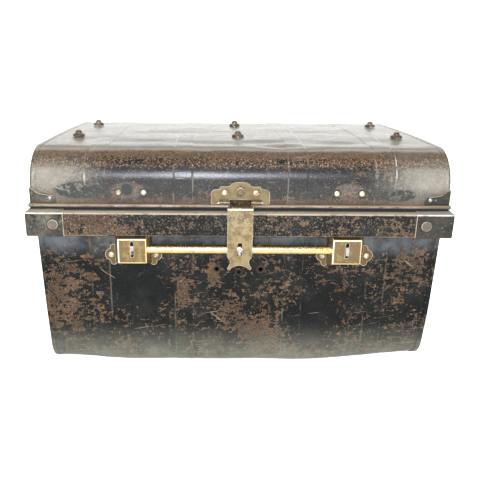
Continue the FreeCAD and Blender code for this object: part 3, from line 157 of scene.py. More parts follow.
class TrunkStage(bpy.types.PropertyGroup):
    """Floor, sky and camera."""
    floor: colour_setting("Floor", "Colour of the studio floor", (0.90, 0.90, 0.90))
    glow: FloatProperty(name="Floor glow", description="Light of the floor, as of a lit white table",
                        default=0.67, min=0.0, max=2.0)
    sky: colour_setting("Sky", "Colour of the light from all round", (1.0, 1.0, 1.0))
    focal: FloatProperty(name="Focal length", description="Camera focal length in millimetres",
                         default=41.777, unit="CAMERA")
    eye: FloatVectorProperty(name="Eye", description="Place of the camera", subtype="TRANSLATION",
                             size=3, default=(-0.03777, -0.98386, 0.46284))
    pitch: FloatProperty(name="Pitch", description="Angle at which the camera looks down",
                         default=0.3092853, subtype="ANGLE")
    yaw: FloatProperty(name="Yaw", description="Turn of the camera", default=-0.0066846, subtype="ANGLE")
    roll: FloatProperty(name="Roll", description="Tilt of the camera", default=0.0076968, subtype="ANGLE")


# ---------------------------------------------------------------- material graphs
class Wire:
    """An output in a material graph; arithmetic on it adds Math nodes."""

    def __init__(self, graph, socket):
        self.graph, self.socket = graph, socket

    def _math(self, operation, *others):
        return self.graph.node("ShaderNodeMath", {"operation": operation}, *others)

    def __add__(self, other):
        return self._math("ADD", self, other)

    def __radd__(self, other):
        return self._math("ADD", other, self)

    def __sub__(self, other):
        return self._math("SUBTRACT", self, other)

    def __rsub__(self, other):
        return self._math("SUBTRACT", other, self)

    def __mul__(self, other):
        return self._math("MULTIPLY", self, other)

    def __rmul__(self, other):
        return self._math("MULTIPLY", other, self)

    def at_most(self, other):
        """The smaller of the two."""
        return self._math("MINIMUM", self, other)

    def at_least(self, other):
        """The larger of the two."""
        return self._math("MAXIMUM", self, other)

    def size(self):
        """The value without its sign."""
        return self._math("ABSOLUTE", self)

    def ramp(self, low, high):
        """0 below low, 1 above high, smooth between; falls instead where low is above high."""
        settings = {"interpolation_type": "SMOOTHSTEP", "clamp": True}
        if low > high:
            return 1.0 - self.graph.node("ShaderNodeMapRange", settings, self, high, low)
        return self.graph.node("ShaderNodeMapRange", settings, self, low, high)


class Tree:
    """A node tree, built by small calls."""

    def __init__(self, tree):
        self.tree = tree

    def node(self, kind, settings, *inputs, out=0, **named):
        """Adds a node: its settings first, then the values or links of its sockets."""
        node = self.tree.nodes.new(kind)
        for key, value in settings.items():
            setattr(node, key, value)
        for key, value in list(enumerate(inputs)) + list(named.items()):
            if value is not None:
                self.feed(node.inputs[key if isinstance(key, int) else key.replace("_", " ")], value)
        return Wire(self, node.outputs[out])

    def feed(self, socket, value):
        """Links a wire to a socket, or sets the socket's own value."""
        if isinstance(value, Wire):
            self.tree.links.new(value.socket, socket)
        elif socket.type == "RGBA":
            socket.default_value = (*value[:3], 1.0)
        else:
            socket.default_value = value

    def beside(self, wire, out):
        """Another output of the node that the wire comes from."""
        return Wire(self, wire.socket.node.outputs[out])

    def parts(self, vector):
        """The three numbers of a vector."""
        first = self.node("ShaderNodeSeparateXYZ", {}, vector)
        return first, self.beside(first, 1), self.beside(first, 2)


class Graph(Tree):
    """A new material with one Principled shader, patterned by object coordinates."""

    def __init__(self, name):
        self.material = bpy.data.materials.new(name)
        self.material.use_nodes = True
        super().__init__(self.material.node_tree)
        self.shader = self.tree.nodes["Principled BSDF"]
        self.place = self.node("ShaderNodeTexCoord", {}, out="Object")
        self.x, self.y, self.z = self.parts(self.place)

    def set(self, **sockets):
        """Feeds the shader's sockets, spaces written as underscores."""
        for key, value in sockets.items():
            self.feed(self.shader.inputs[key.replace("_", " ")], value)

    def scaled(self, x, y, z, turn=(0, 0, 0), vector=None):
        """Object coordinates, turned and then stretched."""
        turned = self.node("ShaderNodeMapping", {}, vector or self.place, Rotation=turn)
        return self.node("ShaderNodeMapping", {}, turned, Scale=(x, y, z))

    def shaken(self, scale, amount, vector=None):
        """Coordinates pushed about by a noise, so that edges turn ragged."""
        wave = self.node("ShaderNodeTexNoise", {}, Vector=vector or self.place, Scale=scale, Detail=3.0,
                         out="Color")
        return self.node("ShaderNodeVectorMath", {"operation": "MULTIPLY_ADD"}, wave, (amount,) * 3,
                         vector or self.place)

    def noise(self, scale, detail=4.0, rough=0.55, vector=None):
        """Clouds between 0 and 1, scale of them to the metre."""
        return self.node("ShaderNodeTexNoise", {}, Vector=vector or self.place, Scale=scale, Detail=detail,
                         Roughness=rough)

    def streaks(self, x, y, z, detail=3.0, rough=0.6, turn=(0, 0, 0), vector=None):
        """Noise stretched by three scales, one along each direction."""
        return self.noise(1.0, detail, rough, self.scaled(x, y, z, turn, vector))

    def cells(self, scale, vector=None):
        """Distance to the nearest of scattered points."""
        return self.node("ShaderNodeTexVoronoi", {}, Vector=vector or self.place, Scale=scale)

    def strokes(self, vector, long, wide, turn, share):
        """Scattered rounded scratches of one direction: 1 inside a stroke."""
        cell = self.cells(1.0, self.scaled(1 / long, 1 / long, 1 / wide, (0, turn, 0), vector))
        chance = self.node("ShaderNodeSeparateColor", {}, self.beside(cell, "Color"))
        return cell.ramp(0.40, 0.30) * chance.ramp(share + 0.02, share)

    def mix(self, factor, first, second):
        """Colour mix: first at factor 0, second at 1."""
        unused = (None,) * 5
        return self.node("ShaderNodeMix", {"data_type": "RGBA"}, factor, *unused, first, second, out=2)

    def layered(self, colour, layers):
        """The colour with others laid over it in order: each layer is how far it covers, and its colour."""
        for cover, over in layers:
            colour = self.mix(cover, colour, over)
        return colour

    def far(self, x, z, wide, high, deep=0.06):
        """Distance from a place on the front: 0 there, 1 on an oval of the given half sizes."""
        moved = self.node("ShaderNodeMapping", {"vector_type": "TEXTURE"}, self.place,
                          Location=(x, -BODY_HALF_DEPTH, z), Scale=(wide, deep, high))
        return self.node("ShaderNodeVectorMath", {"operation": "LENGTH"}, moved, out="Value")

    def blot(self, x, z, wide, high):
        """Soft spot on the front: 1 at its middle, 0 past its rim."""
        return self.far(x, z, wide, high).ramp(1.0, 0.25)

    def band(self, value, centre, half, soft):
        """1 where the value lies within half of the centre, fading over soft."""
        return (value - centre).size().ramp(half + soft, half)

    def bump(self, height, strength, distance):
        """Normals tilted by a height, of which 1 stands for the distance."""
        return self.node("ShaderNodeBump", {}, Strength=strength, Distance=distance, Height=height)

    def edges(self, radius):
        """Worn edges: 1 where the surface bends sharply within the radius."""
        soft = self.node("ShaderNodeBevel", {"samples": 6}, Radius=radius)
        hard = self.node("ShaderNodeNewGeometry", {}, out="Normal")
        same = self.node("ShaderNodeVectorMath", {"operation": "DOT_PRODUCT"}, soft, hard, out="Value")
        return same.ramp(0.985, 0.90)

    def hollows(self, distance):
        """Dirt traps: 1 in the corners between near faces of the piece."""
        light = self.node("ShaderNodeAmbientOcclusion", {"samples": 6, "only_local": True},
                          Distance=distance, out="AO")
        return light.ramp(0.85, 0.45)

    def rubbed(self):
        """The piece's own mark of rubbed outlines: 1 on an outline, 0 away from it."""
        return self.node("ShaderNodeAttribute", {"attribute_name": "rubbed"}, out="Fac")


def tint(colour, factor):
    """The colour made darker or lighter by a factor."""
    return tuple(min(c * factor, 1.0) for c in colour)


class Flakes:
    """Pattern of flaked varnish with ragged patches 3 to 12 mm across.

    score = broad clouds + fine grit + dots + short level rubs + bias. The varnish has gone where score
    passes 0.11, the rim of a flake is the thin band round that level, and bias rises where it wore most."""

    def __init__(self, g, finish, bias):
        self.ragged = g.shaken(170.0, 0.004)
        self.broad = g.noise(14.0, 3.0, 0.55)
        self.grit = g.noise(150.0, 6.0, 0.72, self.ragged)
        self.speck = g.noise(430.0, 3.0, 0.6)
        rubs = g.streaks(55.0, 55.0, 230.0, 4.0, vector=self.ragged)
        score = ((self.broad - 0.5) * 0.35 + (self.grit - 0.5) * 1.05 + (self.speck - 0.5) * 0.42
                 + (rubs - 0.5) * 0.60 + (bias + finish.wear))
        self.gone = score.ramp(0.090, 0.130)
        self.rim = score.ramp(0.080, 0.105) * score.ramp(0.155, 0.125)


def rusted(g, finish, flakes):
    """Brown metal: older flakes dark and smooth, fresh ones orange, tan at their rims and in grit."""
    tone = g.noise(34.0, 4.0, 0.6)
    rust = g.mix(tone.ramp(0.35, 0.68), tint(finish.rust, 0.58), tint(finish.rust, 1.35))
    return g.layered(rust, (
        (flakes.grit.ramp(0.58, 0.70) * 0.50, finish.fresh),
        (flakes.speck.ramp(0.46, 0.34) * 0.65, tint(finish.rust, 0.25)),
        (flakes.rim * 0.35, finish.tan),
        (flakes.speck.ramp(0.58, 0.72) * 0.60, finish.tan)))


def varnished(g, finish, flakes, film, grey):
    """Black varnish, filmed grey in clouds and dotted with fine dust."""
    return g.layered(finish.japan, (
        (film.ramp(0.42, 0.72) * grey, finish.film),
        (flakes.speck.ramp(0.58, 0.72) * 0.38, (0.095, 0.092, 0.074))))


def band_foot_highlights(g):
    """Painted highlights: fine pale lines along both feet of each rolled band, broken in streaks."""
    line = None
    for centre in SWAGES:
        off = g.band((g.x - centre).size(), BAND_FOOT, 0.0004, 0.0010)
        line = off if line is None else line.at_least(off)
    return line * g.streaks(60.0, 25.0, 25.0).ramp(0.45, 0.65)


def japan_body(finish):
    """Black stoved varnish of the body: scratched at the left, flaked low in the middle, paler grey-beige at
    the foot, with a painted grey-blue reflection on the wall under the rim.

    bias is a sum of soft spots, each a strength, a place and half sizes, with a little more wear at the
    right end, less under the rim, and upright streaks near the floor."""
    g = Graph("japan_body")
    spots = ((0.105, -0.270, 0.12, 0.050, 0.16), (0.15, -0.016, 0.092, 0.032, 0.046),
             (0.12, 0.035, 0.065, 0.050, 0.045), (0.22, -0.037, 0.159, 0.018, 0.036),
             (0.20, -0.084, 0.128, 0.014, 0.038), (-0.17, -0.160, 0.140, 0.060, 0.060),
             (-0.17, 0.125, 0.090, 0.060, 0.045))
    bias = sum(strength * g.blot(*spot) for strength, *spot in spots)
    bias = bias + 0.025 * g.x.ramp(0.20, 0.26) - 0.10 * g.z.ramp(0.185, 0.21)
    bias = bias + g.z.ramp(0.060, 0.020) * ((g.streaks(150.0, 150.0, 28.0) - 0.5) * 0.9 + 0.03)
    flakes = Flakes(g, finish, bias)
    # Rounded scrapes lie level at the left and in two short rows in the middle, with some askew.
    bars, short, slanted, nick, upright = (
        g.strokes(flakes.ragged, *stroke) for stroke in (
            (0.034, 0.0098, 0.0, 0.75), (0.020, 0.0075, 0.25, 0.5), (0.014, 0.0055, -0.85, 0.35),
            (0.016, 0.0060, 0.75, 0.22), (0.0055, 0.016, 0.05, 0.20)))
    left = g.blot(-0.228, 0.145, 0.040, 0.085).ramp(0.05, 0.3)
    rows = g.blot(0.064, 0.136, 0.042, 0.024).at_least(g.blot(0.150, 0.142, 0.045, 0.018)).ramp(0.05, 0.3)
    nicks = nick.at_least(upright) * flakes.broad.ramp(0.47, 0.53)
    gone = flakes.gone.at_least(bars * left).at_least(short.at_least(slanted) * rows).at_least(nicks * 0.85)
    film = g.noise(24.0, 5.0, 0.7)
    # Painted reflection: a grey-blue sheen on the front wall just under the rim, in clouds.
    upper = g.z.ramp(0.180, 0.212) * g.y.ramp(-0.15, -0.19) * (0.25 + 0.75 * film.ramp(0.35, 0.65))
    hair = g.streaks(12.0, 60.0, 420.0, 2.0, 0.5, (0, 0.16, 0)).ramp(0.70, 0.73)
    steep = g.streaks(200.0, 60.0, 18.0, 2.0, 0.5, (0, 0.9, 0)).ramp(0.72, 0.75)
    layers = [
        (upper, (0.078, 0.083, 0.086)),
        (gone, rusted(g, finish, flakes)),
        # Painted highlight along the feet of the bands: brown above, grey-green near the floor.
        (band_foot_highlights(g) * 0.45, g.mix(g.z.ramp(0.15, 0.09), tint(finish.tan, 0.5), (0.14, 0.15, 0.115))),
        (hair.at_least(steep) * 0.5, finish.tan)]
    # Soft dirt rings round the three empty holes.
    for (x, z, _), radius in zip(HOLES, (0.0070, 0.0066, 0.0056)):
        reach = g.far(x, z, radius, radius, deep=0.02)
        layers += [(g.band(reach, 0.80, 0.08, 0.20) * 0.6, tint(finish.rust, 0.9)),
                   (reach.ramp(0.75, 0.50) * 0.85, finish.japan)]
    # Paler grey-beige towards the floor: in clouds up to 85 mm high, and evenly over the lowest 10 to 24 mm.
    dust = g.noise(26.0, 5.0, 0.68)
    haze = (g.z.ramp(0.085, 0.004) * (0.10 + 0.95 * dust)).at_least(g.z.ramp(0.024, 0.010) * 0.70)
    layers.append((haze, g.mix(dust, (0.135, 0.135, 0.110), (0.245, 0.232, 0.180))))
    height = (1.0 - gone) * 0.8 + 0.4 * flakes.speck + 0.2 * flakes.grit
    g.set(Base_Color=g.layered(varnished(g, finish, flakes, film, 0.7), layers), Metallic=0.0, IOR=1.18,
          Roughness=0.32 + 0.28 * gone + 0.14 * flakes.speck + 0.12 * film,
          Normal=g.bump(height, 0.50, 0.00032))
    return g.material


def japan_lid(finish):
    """Varnish of the lid: pale and dusty on the top, with painted shade along its edges, a brown band and
    fine mottle over the bend, glossy and noisy on the front, satin metal towards both ends with a painted
    reflection at mid-height.

    level is the height moved by up to 3.5 mm in streaks; top, band and mottle are zones of it. ends grows
    from the middle towards both ends, and panel is 1 on the end pans, which stay darker."""
    g = Graph("japan_lid")
    front = g.y.ramp(-0.10, -0.16)
    level = g.z + (g.streaks(45.0, 45.0, 140.0) - 0.5) * 0.007
    top = level.ramp(0.3384, 0.3412)
    band = level.ramp(0.3305, 0.3330) * level.ramp(0.3416, 0.3394)
    mottle = level.ramp(0.3165, 0.3235) * level.ramp(0.3335, 0.3315)
    foot = g.z.ramp(0.2795, 0.2715)
    panel = (g.x.size() + (g.z - LID_LEAN_START).at_least(0.0) * 0.058).ramp(0.2970, 0.2995)
    ends = (g.x + 0.004).size().ramp(0.17, 0.265) * (1.0 - 0.65 * panel)
    bias = (0.0 + 0.11 * mottle + 0.34 * band + 0.07 * ends + 0.13 * top + 0.12 * foot
            - 0.14 * front * g.blot(-0.07, 0.302, 0.17, 0.022)
            - 0.10 * front * g.blot(0.13, 0.296, 0.16, 0.022))
    flakes = Flakes(g, finish, bias)
    gone = flakes.gone
    film = g.noise(20.0, 5.0, 0.7)
    fine = g.noise(310.0, 5.0, 0.75, flakes.ragged)
    # Flecks all over the front: steel blue in the light, tan and brown beside.
    middle = front * (1.0 - mottle) * (1.0 - top) * (1.0 - band)
    layers = [
        (gone, rusted(g, finish, flakes)),
        (middle * fine.ramp(0.56, 0.63) * 0.55, (0.115, 0.110, 0.110)),
        (middle * fine.ramp(0.46, 0.40) * 0.55, tint(finish.rust, 1.2)),
        (mottle * fine.ramp(0.54, 0.62) * 0.8, finish.fresh),
        (mottle * fine.ramp(0.47, 0.41) * 0.8, finish.japan),
        (mottle * flakes.speck.ramp(0.58, 0.66) * 0.7, tint(finish.tan, 1.2))]
    # Mottled halos where the side hasps were.
    for centre, size in ((-0.161, 0.034), (0.156, 0.030)):
        halo = g.blot(centre, 0.2870, size, 0.016).ramp(0.05, 0.5) * (0.35 + 0.65 * fine.ramp(0.42, 0.58))
        layers += [(halo * 0.75, g.mix(film, tint(finish.rust, 1.25), (0.17, 0.145, 0.115))),
                   (halo * fine.ramp(0.60, 0.66) * 0.7, finish.fresh)]
    hair = g.streaks(12.0, 30.0, 420.0, 2.0, 0.5, (0, 0.1, 0)).ramp(0.70, 0.73)
    brown = band * (0.60 + 0.40 * flakes.grit.ramp(0.40, 0.60))
    dust = g.noise(24.0, 4.0, 0.6)
    # Dust on the top, faded by painted shade towards the bends.
    haze = top * (0.20 + 0.34 * dust) * (0.30 + 0.70 * g.z.ramp(0.3395, 0.3450))
    # Satin grey-beige towards both ends, brighter in a band round 309 mm high as a painted reflection.
    satin = (ends * (1.0 - mottle * 0.5) * (1.0 - band * 0.75) * (0.25 + 0.70 * dust)
             * (0.50 + 0.50 * g.band(g.z, 0.309, 0.010, 0.018)) * (1.0 - top)
             * (1.0 - fine.ramp(0.56, 0.44) * (1.0 - ends * 0.8) * 0.85))
    # Remains of green-black varnish by the foot of both ends, and the print of a lost plate.
    flecks = g.blot(-0.232, 0.287, 0.050, 0.018).at_least(g.blot(0.226, 0.282, 0.040, 0.013)).ramp(0.1, 0.6)
    oblong = g.far(-0.1625, 0.2885, 0.0085, 0.0095).ramp(1.05, 0.80)
    layers += [
        # Scratches in pale tin, and the painted highlights along the band feet.
        ((hair * 0.45).at_least(band_foot_highlights(g) * 0.30), tint(finish.pale, 1.1)),
        (brown * 0.90, g.mix(fine.ramp(0.40, 0.62), (0.038, 0.027, 0.016), (0.125, 0.084, 0.046))),
        (satin, finish.dust),
        (haze, (0.275, 0.275, 0.205)),
        # Painted shade: a soft dark brown line along the top's edge, above the brown band.
        (g.band(level, 0.3424, 0.0010, 0.0026) * 0.65, (0.105, 0.080, 0.050)),
        (flecks * flakes.grit.ramp(0.47, 0.50) * front * 0.9, (0.016, 0.022, 0.018)),
        (oblong * 0.92, (0.010, 0.014, 0.0125))]
    # Painted shade: a dark ring round the head of each rivet of the lost hasps.
    for (x, _, z), _ in paired(LOCK_X, LOST_RIVET_STEP, LOST_RIVET_Y, LOST_RIVET_Z, -1):
        layers.append((g.far(x, z, 0.0064, 0.0064).ramp(1.0, 0.80) * 0.85, tint(finish.japan, 0.8)))
    # Painted highlight: a whitish line along the outer feet of the outer bands, over the bend.
    foot_highlight = (g.band(g.x.size(), 0.2224, 0.0002, 0.0007) * front * g.z.ramp(0.292, 0.304)
                 * g.z.ramp(0.340, 0.328) * g.streaks(30.0, 30.0, 60.0).ramp(0.36, 0.56) * 0.8)
    layers += [(foot_highlight, (0.54, 0.51, 0.44)),
               (foot * front * (0.25 + 0.35 * film), tint(finish.rust, 0.9))]
    coat = (1.0 - 0.75 * gone * (1.0 - top)).at_most(1.0 - 0.45 * ends * (1.0 - top)) * (0.80 + 0.1 * top)
    coat = coat * (1.0 - 0.45 * middle * fine.ramp(0.50, 0.42)) * (1.0 - 0.5 * band)
    height = (1.0 - gone) * 0.6 + 0.5 * flakes.speck + 0.3 * flakes.grit + 0.4 * middle * fine
    g.set(Base_Color=g.layered(varnished(g, finish, flakes, film, 0.8), layers), IOR=1.22,
          Roughness=0.30 + 0.20 * gone + 0.10 * flakes.speck + 0.08 * film,
          Coat_Weight=coat, Coat_Roughness=0.25, Coat_IOR=1.39, Normal=g.bump(height, 0.42, 0.0003))
    return g.material


def japan_rim(finish):
    """Varnish of the rim: brown at the left, dusty on its shoulder, rubbed along its folds, with a painted
    highlight on the upper fold and painted shade under the lid's bead.
    """
    g = Graph("japan_rim")
    front = g.y.ramp(-0.18, -0.20)
    flakes = Flakes(g, finish, 0.02 + 0.16 * g.x.ramp(-0.15, -0.20) * front + 0.03 * g.x.ramp(0.05, 0.15))
    film = g.noise(22.0, 5.0, 0.7)
    fine = g.noise(330.0, 4.0, 0.7)
    broken = g.streaks(70.0, 70.0, 70.0).ramp(0.38, 0.52)
    # A tan line along the shoulder's fold, partly rubbed metal and partly a painted highlight, and a rubbed
    # line along the lower fold.
    crease_wear_and_glint = g.band(g.z, RIM_SHOULDER, 0.0006, 0.0007) * (0.35 + 0.65 * broken)
    foot = g.band(g.z, 0.2216, 0.0005, 0.0007) * broken
    colour = g.layered(varnished(g, finish, flakes, film, 1.0), (
        (flakes.gone, rusted(g, finish, flakes)),
        (fine.ramp(0.56, 0.66) * 0.60, tint(finish.tan, 0.85)),
        (fine.ramp(0.42, 0.36) * 0.60, finish.japan),
        (g.z.ramp(0.2538, 0.2552) * (0.35 + 0.55 * film), (0.29, 0.265, 0.215)),
        # Painted shade: near black at the top of the shoulder, under the lid's bead.
        (g.z.ramp(0.2572, 0.2590) * 0.92, (0.012, 0.010, 0.008)),
        ((crease_wear_and_glint * 0.85).at_least(foot * 0.3), tint(finish.tan, 1.45))))
    height = (1.0 - flakes.gone) * 0.7 + 0.3 * flakes.speck + 0.2 * flakes.grit
    g.set(Base_Color=colour, Roughness=0.32 + 0.20 * flakes.gone + 0.10 * flakes.speck + 0.08 * film,
          IOR=1.24, Normal=g.bump(height, 0.40, 0.00032))
    return g.material


def rubbed_bead(finish):
    """Wired edge of the lid: a gold line along its top as a painted highlight, brown-pink rubbed metal, and
    near black below as painted shade in the seam.
    """
    g = Graph("rubbed_bead")
    cloud = g.noise(30.0, 5.0, 0.6)
    speck = g.noise(260.0, 4.0, 0.65)
    colour = g.mix(cloud.ramp(0.35, 0.65), (0.090, 0.068, 0.056), (0.175, 0.150, 0.130))
    colour = g.layered(colour, (
        (g.noise(70.0, 4.0, 0.6).ramp(0.55, 0.64) * 0.8, tint(finish.rust, 0.7)),
        (speck.ramp(0.58, 0.68) * 0.6, (0.34, 0.29, 0.235)),
        # Painted highlight: a gold line along the top of the bead.
        (g.z.ramp(0.2660, 0.2668) * (0.55 + 0.45 * speck), (0.34, 0.225, 0.105)),
        # Painted shade: near black on the lower half, down into the seam.
        (g.z.ramp(0.2648, 0.2640) * 0.95, (0.012, 0.009, 0.007))))
    g.set(Base_Color=colour, Roughness=0.34 + 0.2 * speck, Metallic=0.45 * g.z.ramp(0.2638, 0.2650),
          Normal=g.bump(cloud * 0.5 + speck * 0.5, 0.3, 0.0003))
    return g.material


def worn_cap(finish):
    """Tinplate corner pieces: remains of green-black japan, folds and outlines rubbed tan with a painted
    highlight on the upper fold, rusty pits, and painted highlights and shade at the big rivets.
    """
    g = Graph("worn_cap")
    ragged = g.shaken(90.0, 0.01)
    cloud = g.noise(42.0, 5.0, 0.65, ragged)
    speck = g.noise(240.0, 4.0, 0.65)
    broken = g.noise(95.0, 3.0, 0.6).ramp(0.36, 0.56)
    shoulder = g.z.ramp(0.2546, 0.2556) * g.z.ramp(0.2612, 0.2595)
    foot = g.z.ramp(0.232, 0.222) * g.z.ramp(0.19, 0.20)
    layers = [
        (g.x.ramp(0.0, 0.1) * 0.80, (0.016, 0.016, 0.013)),
        (speck.ramp(0.58, 0.70) * 0.7, tint(finish.pale, 0.75)),
        (speck.ramp(0.42, 0.34) * 0.6, finish.japan),
        (g.noise(75.0, 4.0, 0.6).ramp(0.55, 0.63) * 0.7, tint(finish.rust, 1.0)),
        (g.noise(30.0, 3.0, 0.5, ragged).ramp(0.58, 0.66), tint(finish.japan, 2.4)),
        (shoulder * (0.45 + 0.5 * cloud), (0.275, 0.25, 0.195)),
        (foot * 0.40 * (0.4 + speck), tint(finish.rust, 0.85))]
    # Round the two big rivets of each rim corner: brown heads, a painted highlight near each head's rim, and
    # a ring of painted shade round it, open on one side.
    for x, y in ((cap_x - CAP_RIVET_RUN, cap_y), (cap_x, cap_y - CAP_RIVET_RUN)):
        gap = g.node("ShaderNodeCombineXYZ", {}, g.x.size() - x, g.y.size() - y, g.z - CAP_RIVET_Z)
        reach = g.node("ShaderNodeVectorMath", {"operation": "LENGTH"}, gap, out="Value")
        head = g.mix(cloud, (0.055, 0.040, 0.028), (0.20, 0.155, 0.115))
        layers += [(reach.ramp(0.0074, 0.0066) * 0.75, head),
                   (g.band(reach, 0.0070, 0.0002, 0.0005) * (0.10 + 0.5 * broken), (0.40, 0.37, 0.30)),
                   (g.band(reach, 0.0084, 0.0004, 0.0008) * (0.50 + 0.45 * broken), (0.014, 0.010, 0.008))]
    edge = g.edges(0.0014).at_least(g.rubbed())
    # A pale line along the shoulder's fold: rubbed tin and a painted highlight.
    fold = g.band(g.z, 0.2548, 0.0005, 0.0006)
    layers += [(edge * (0.30 + 0.65 * broken), (0.56, 0.45, 0.31)),
               (fold * (0.45 + 0.5 * broken), (0.70, 0.62, 0.52))]
    colour = g.mix(cloud.ramp(0.38, 0.62), (0.018, 0.020, 0.016), (0.095, 0.088, 0.066))
    g.set(Base_Color=g.layered(colour, layers), Roughness=0.32 + 0.20 * cloud + 0.1 * speck,
          Metallic=0.20 + 0.35 * edge, IOR=1.30, Normal=g.bump(cloud * 0.7 + speck * 0.3, 0.45, 0.0004))
    return g.material


def old_brass(name, finish, dark=0.0, smooth=0.0, light=1.0, case=False, olive=0.0, pale=0.0, knuckle=False):
    """Brass gone olive and brown, rubbed bright on its edges and high places.

    dark spreads the tarnish and light lightens the metal. A lock case is golden on its raised face, with
    painted highlights on its sloping sides, near white along the face's upper and left edges and golden
    along its lower and right ones, and dark on its ears. olive greys the brass above 205 mm, pale whitens it
    as a painted highlight, and knuckle rusts the hasp's knuckle and paints a highlight along the bend just
    below the rust."""
    g = Graph(name)
    cloud = g.noise(85.0, 5.0, 0.62, g.shaken(160.0, 0.004))
    fine = g.noise(380.0, 4.0, 0.65)
    lines = g.streaks(60.0, 60.0, 700.0)
    stain = (cloud + 0.45 * (fine - 0.5) + dark).ramp(0.46, 0.66)
    warm = g.noise(30.0, 3.0, 0.5).ramp(0.35, 0.65)
    layers = [(warm * (0.2 if case else 0.6), tint(finish.dull, light))]
    if olive:
        layers.append((g.z.ramp(0.205, 0.235) * olive, (0.24, 0.215, 0.145)))
    # Painted highlight: pale whitens the whole piece.
    if pale:
        layers.append((pale, (0.86, 0.80, 0.66)))
    layers += [(stain * 0.72, finish.patina),
               (fine.ramp(0.58, 0.70) * 0.65, tint(finish.patina, 0.5)),
               (g.hollows(0.006) * 0.85, tint(finish.patina, 0.35))]
    edge = g.edges(0.0012)
    bright = edge * (0.45 + 0.55 * fine)
    if case:
        # out is the way to the right from the middle of either case.
        out = (g.x.size() - LOCK_X) * g.node("ShaderNodeMath", {"operation": "SIGN"}, g.x)
        # Painted highlights: the sloping sides lighter, the face near white along its upper and left edges
        # and golden along its lower and right ones.
        side = g.band(out.size(), 0.0205, 0.0004, 0.0004) * g.y.ramp(-0.2065, -0.2080)
        face = g.y.ramp(-0.2155, -0.2168)
        upper = g.z.ramp(0.2160, 0.2174).at_least(out.ramp(-0.0184, -0.0198))
        lower = g.z.ramp(0.1834, 0.1822).at_least(out.ramp(0.0186, 0.0198))
        layers += [(side * 0.75, (0.80, 0.62, 0.33)),
                   (g.y.ramp(-0.2075, -0.2050) * 0.80, tint(finish.patina, 0.75)),
                   (face * lower * 0.7, (0.62, 0.44, 0.17))]
        bright = bright.at_least(face * upper * 0.9)
    if knuckle:
        rust = g.band(g.z, 0.256, 0.006, 0.006) * fine.ramp(0.50, 0.58) * 0.6
        rust = rust.at_least(g.z.ramp(0.2640, 0.2655) * fine.ramp(0.36, 0.48))
        layers.append((rust * 0.9, g.mix(cloud, tint(finish.rust, 0.35), tint(finish.rust, 0.9))))
        # Painted highlight along the strap's bend just below the knuckle.
        bright = bright.at_least(g.band(g.z, 0.2634, 0.0006, 0.0006) * 0.8)
    layers.append((bright, (0.93, 0.84, 0.64)))
    g.set(Base_Color=g.layered(tint(finish.brass, light), layers), Metallic=1.0 - 0.40 * stain,
          Roughness=0.32 + 0.24 * stain + 0.10 * lines - 0.08 * edge - smooth,
          Normal=g.bump(fine * 0.5 + lines * 0.3 + cloud * 0.6, 0.28, 0.0003))
    return g.material


def black_iron(name, finish):
    """Hand-worn iron with remains of japan."""
    g = Graph(name)
    cloud = g.noise(60.0, 5.0, 0.65)
    speck = g.noise(320.0, 4.0, 0.6)
    gone = (cloud + 0.3 * (speck - 0.5)).ramp(0.50, 0.60)
    edge = g.edges(0.0010)
    colour = g.layered(tint(finish.japan, 2.4), (
        (gone, g.mix(speck, tint(finish.rust, 0.8), tint(finish.fresh, 0.8))),
        (edge * 0.7, (0.25, 0.20, 0.155)),
        (g.hollows(0.006) * 0.7, tint(finish.japan, 1.2))))
    g.set(Base_Color=colour, Roughness=0.34 + 0.24 * gone + 0.08 * speck, Metallic=0.25 + 0.3 * edge,
          Normal=g.bump(cloud * 0.5 + speck * 0.5, 0.3, 0.0004))
    return g.material


def worn_stud(finish):
    """Iron studs: dark brown, metal bright on the crown and along the brim."""
    g = Graph("rusty_iron")
    cloud = g.noise(70.0, 5.0, 0.65)
    speck = g.noise(300.0, 4.0, 0.6)
    rubbed = g.edges(0.0014) * (0.35 + 0.65 * cloud.ramp(0.40, 0.55))
    colour = g.mix(cloud.ramp(0.38, 0.62), (0.060, 0.038, 0.026), (0.165, 0.115, 0.080))
    colour = g.layered(colour, ((speck.ramp(0.56, 0.68) * 0.7, finish.tan), (rubbed, (0.55, 0.50, 0.42))))
    g.set(Base_Color=colour, Roughness=0.30 + 0.22 * speck, Metallic=0.75,
          Normal=g.bump(cloud * 0.6 + speck * 0.4, 0.4, 0.0004))
    return g.material


def dull_steel():
    """Grey drawn steel with light brown spots."""
    g = Graph("dull_steel")
    speck = g.noise(260.0, 4.0, 0.6)
    spots = g.noise(90.0, 4.0, 0.6).ramp(0.5, 0.7)
    colour = g.layered((0.36, 0.35, 0.33), (
        (speck.ramp(0.5, 0.72), (0.16, 0.11, 0.08)), (spots, (0.09, 0.07, 0.055))))
    g.set(Base_Color=colour, Roughness=0.34 + 0.2 * speck, Metallic=0.9, Normal=g.bump(speck, 0.2, 0.0002))
    return g.material


def inner_varnish():
    """Inside of the trunk: thin brown varnish over tin, stained and dusty."""
    g = Graph("inner_varnish")
    cloud = g.noise(9.0, 5.0, 0.6)
    stain = g.noise(40.0, 4.0, 0.6)
    speck = g.noise(190.0, 4.0, 0.65)
    colour = g.mix(cloud.ramp(0.35, 0.65), (0.115, 0.085, 0.055), (0.21, 0.165, 0.115))
    colour = g.layered(colour, (
        (stain.ramp(0.55, 0.68) * 0.5, (0.26, 0.21, 0.155)), (speck.ramp(0.62, 0.70), (0.07, 0.035, 0.02))))
    g.set(Base_Color=colour, Roughness=0.42 + 0.2 * cloud, Metallic=0.15,
          Normal=g.bump(speck * 0.4 + cloud * 0.6, 0.25, 0.0004))
    return g.material


MATERIALS = {}


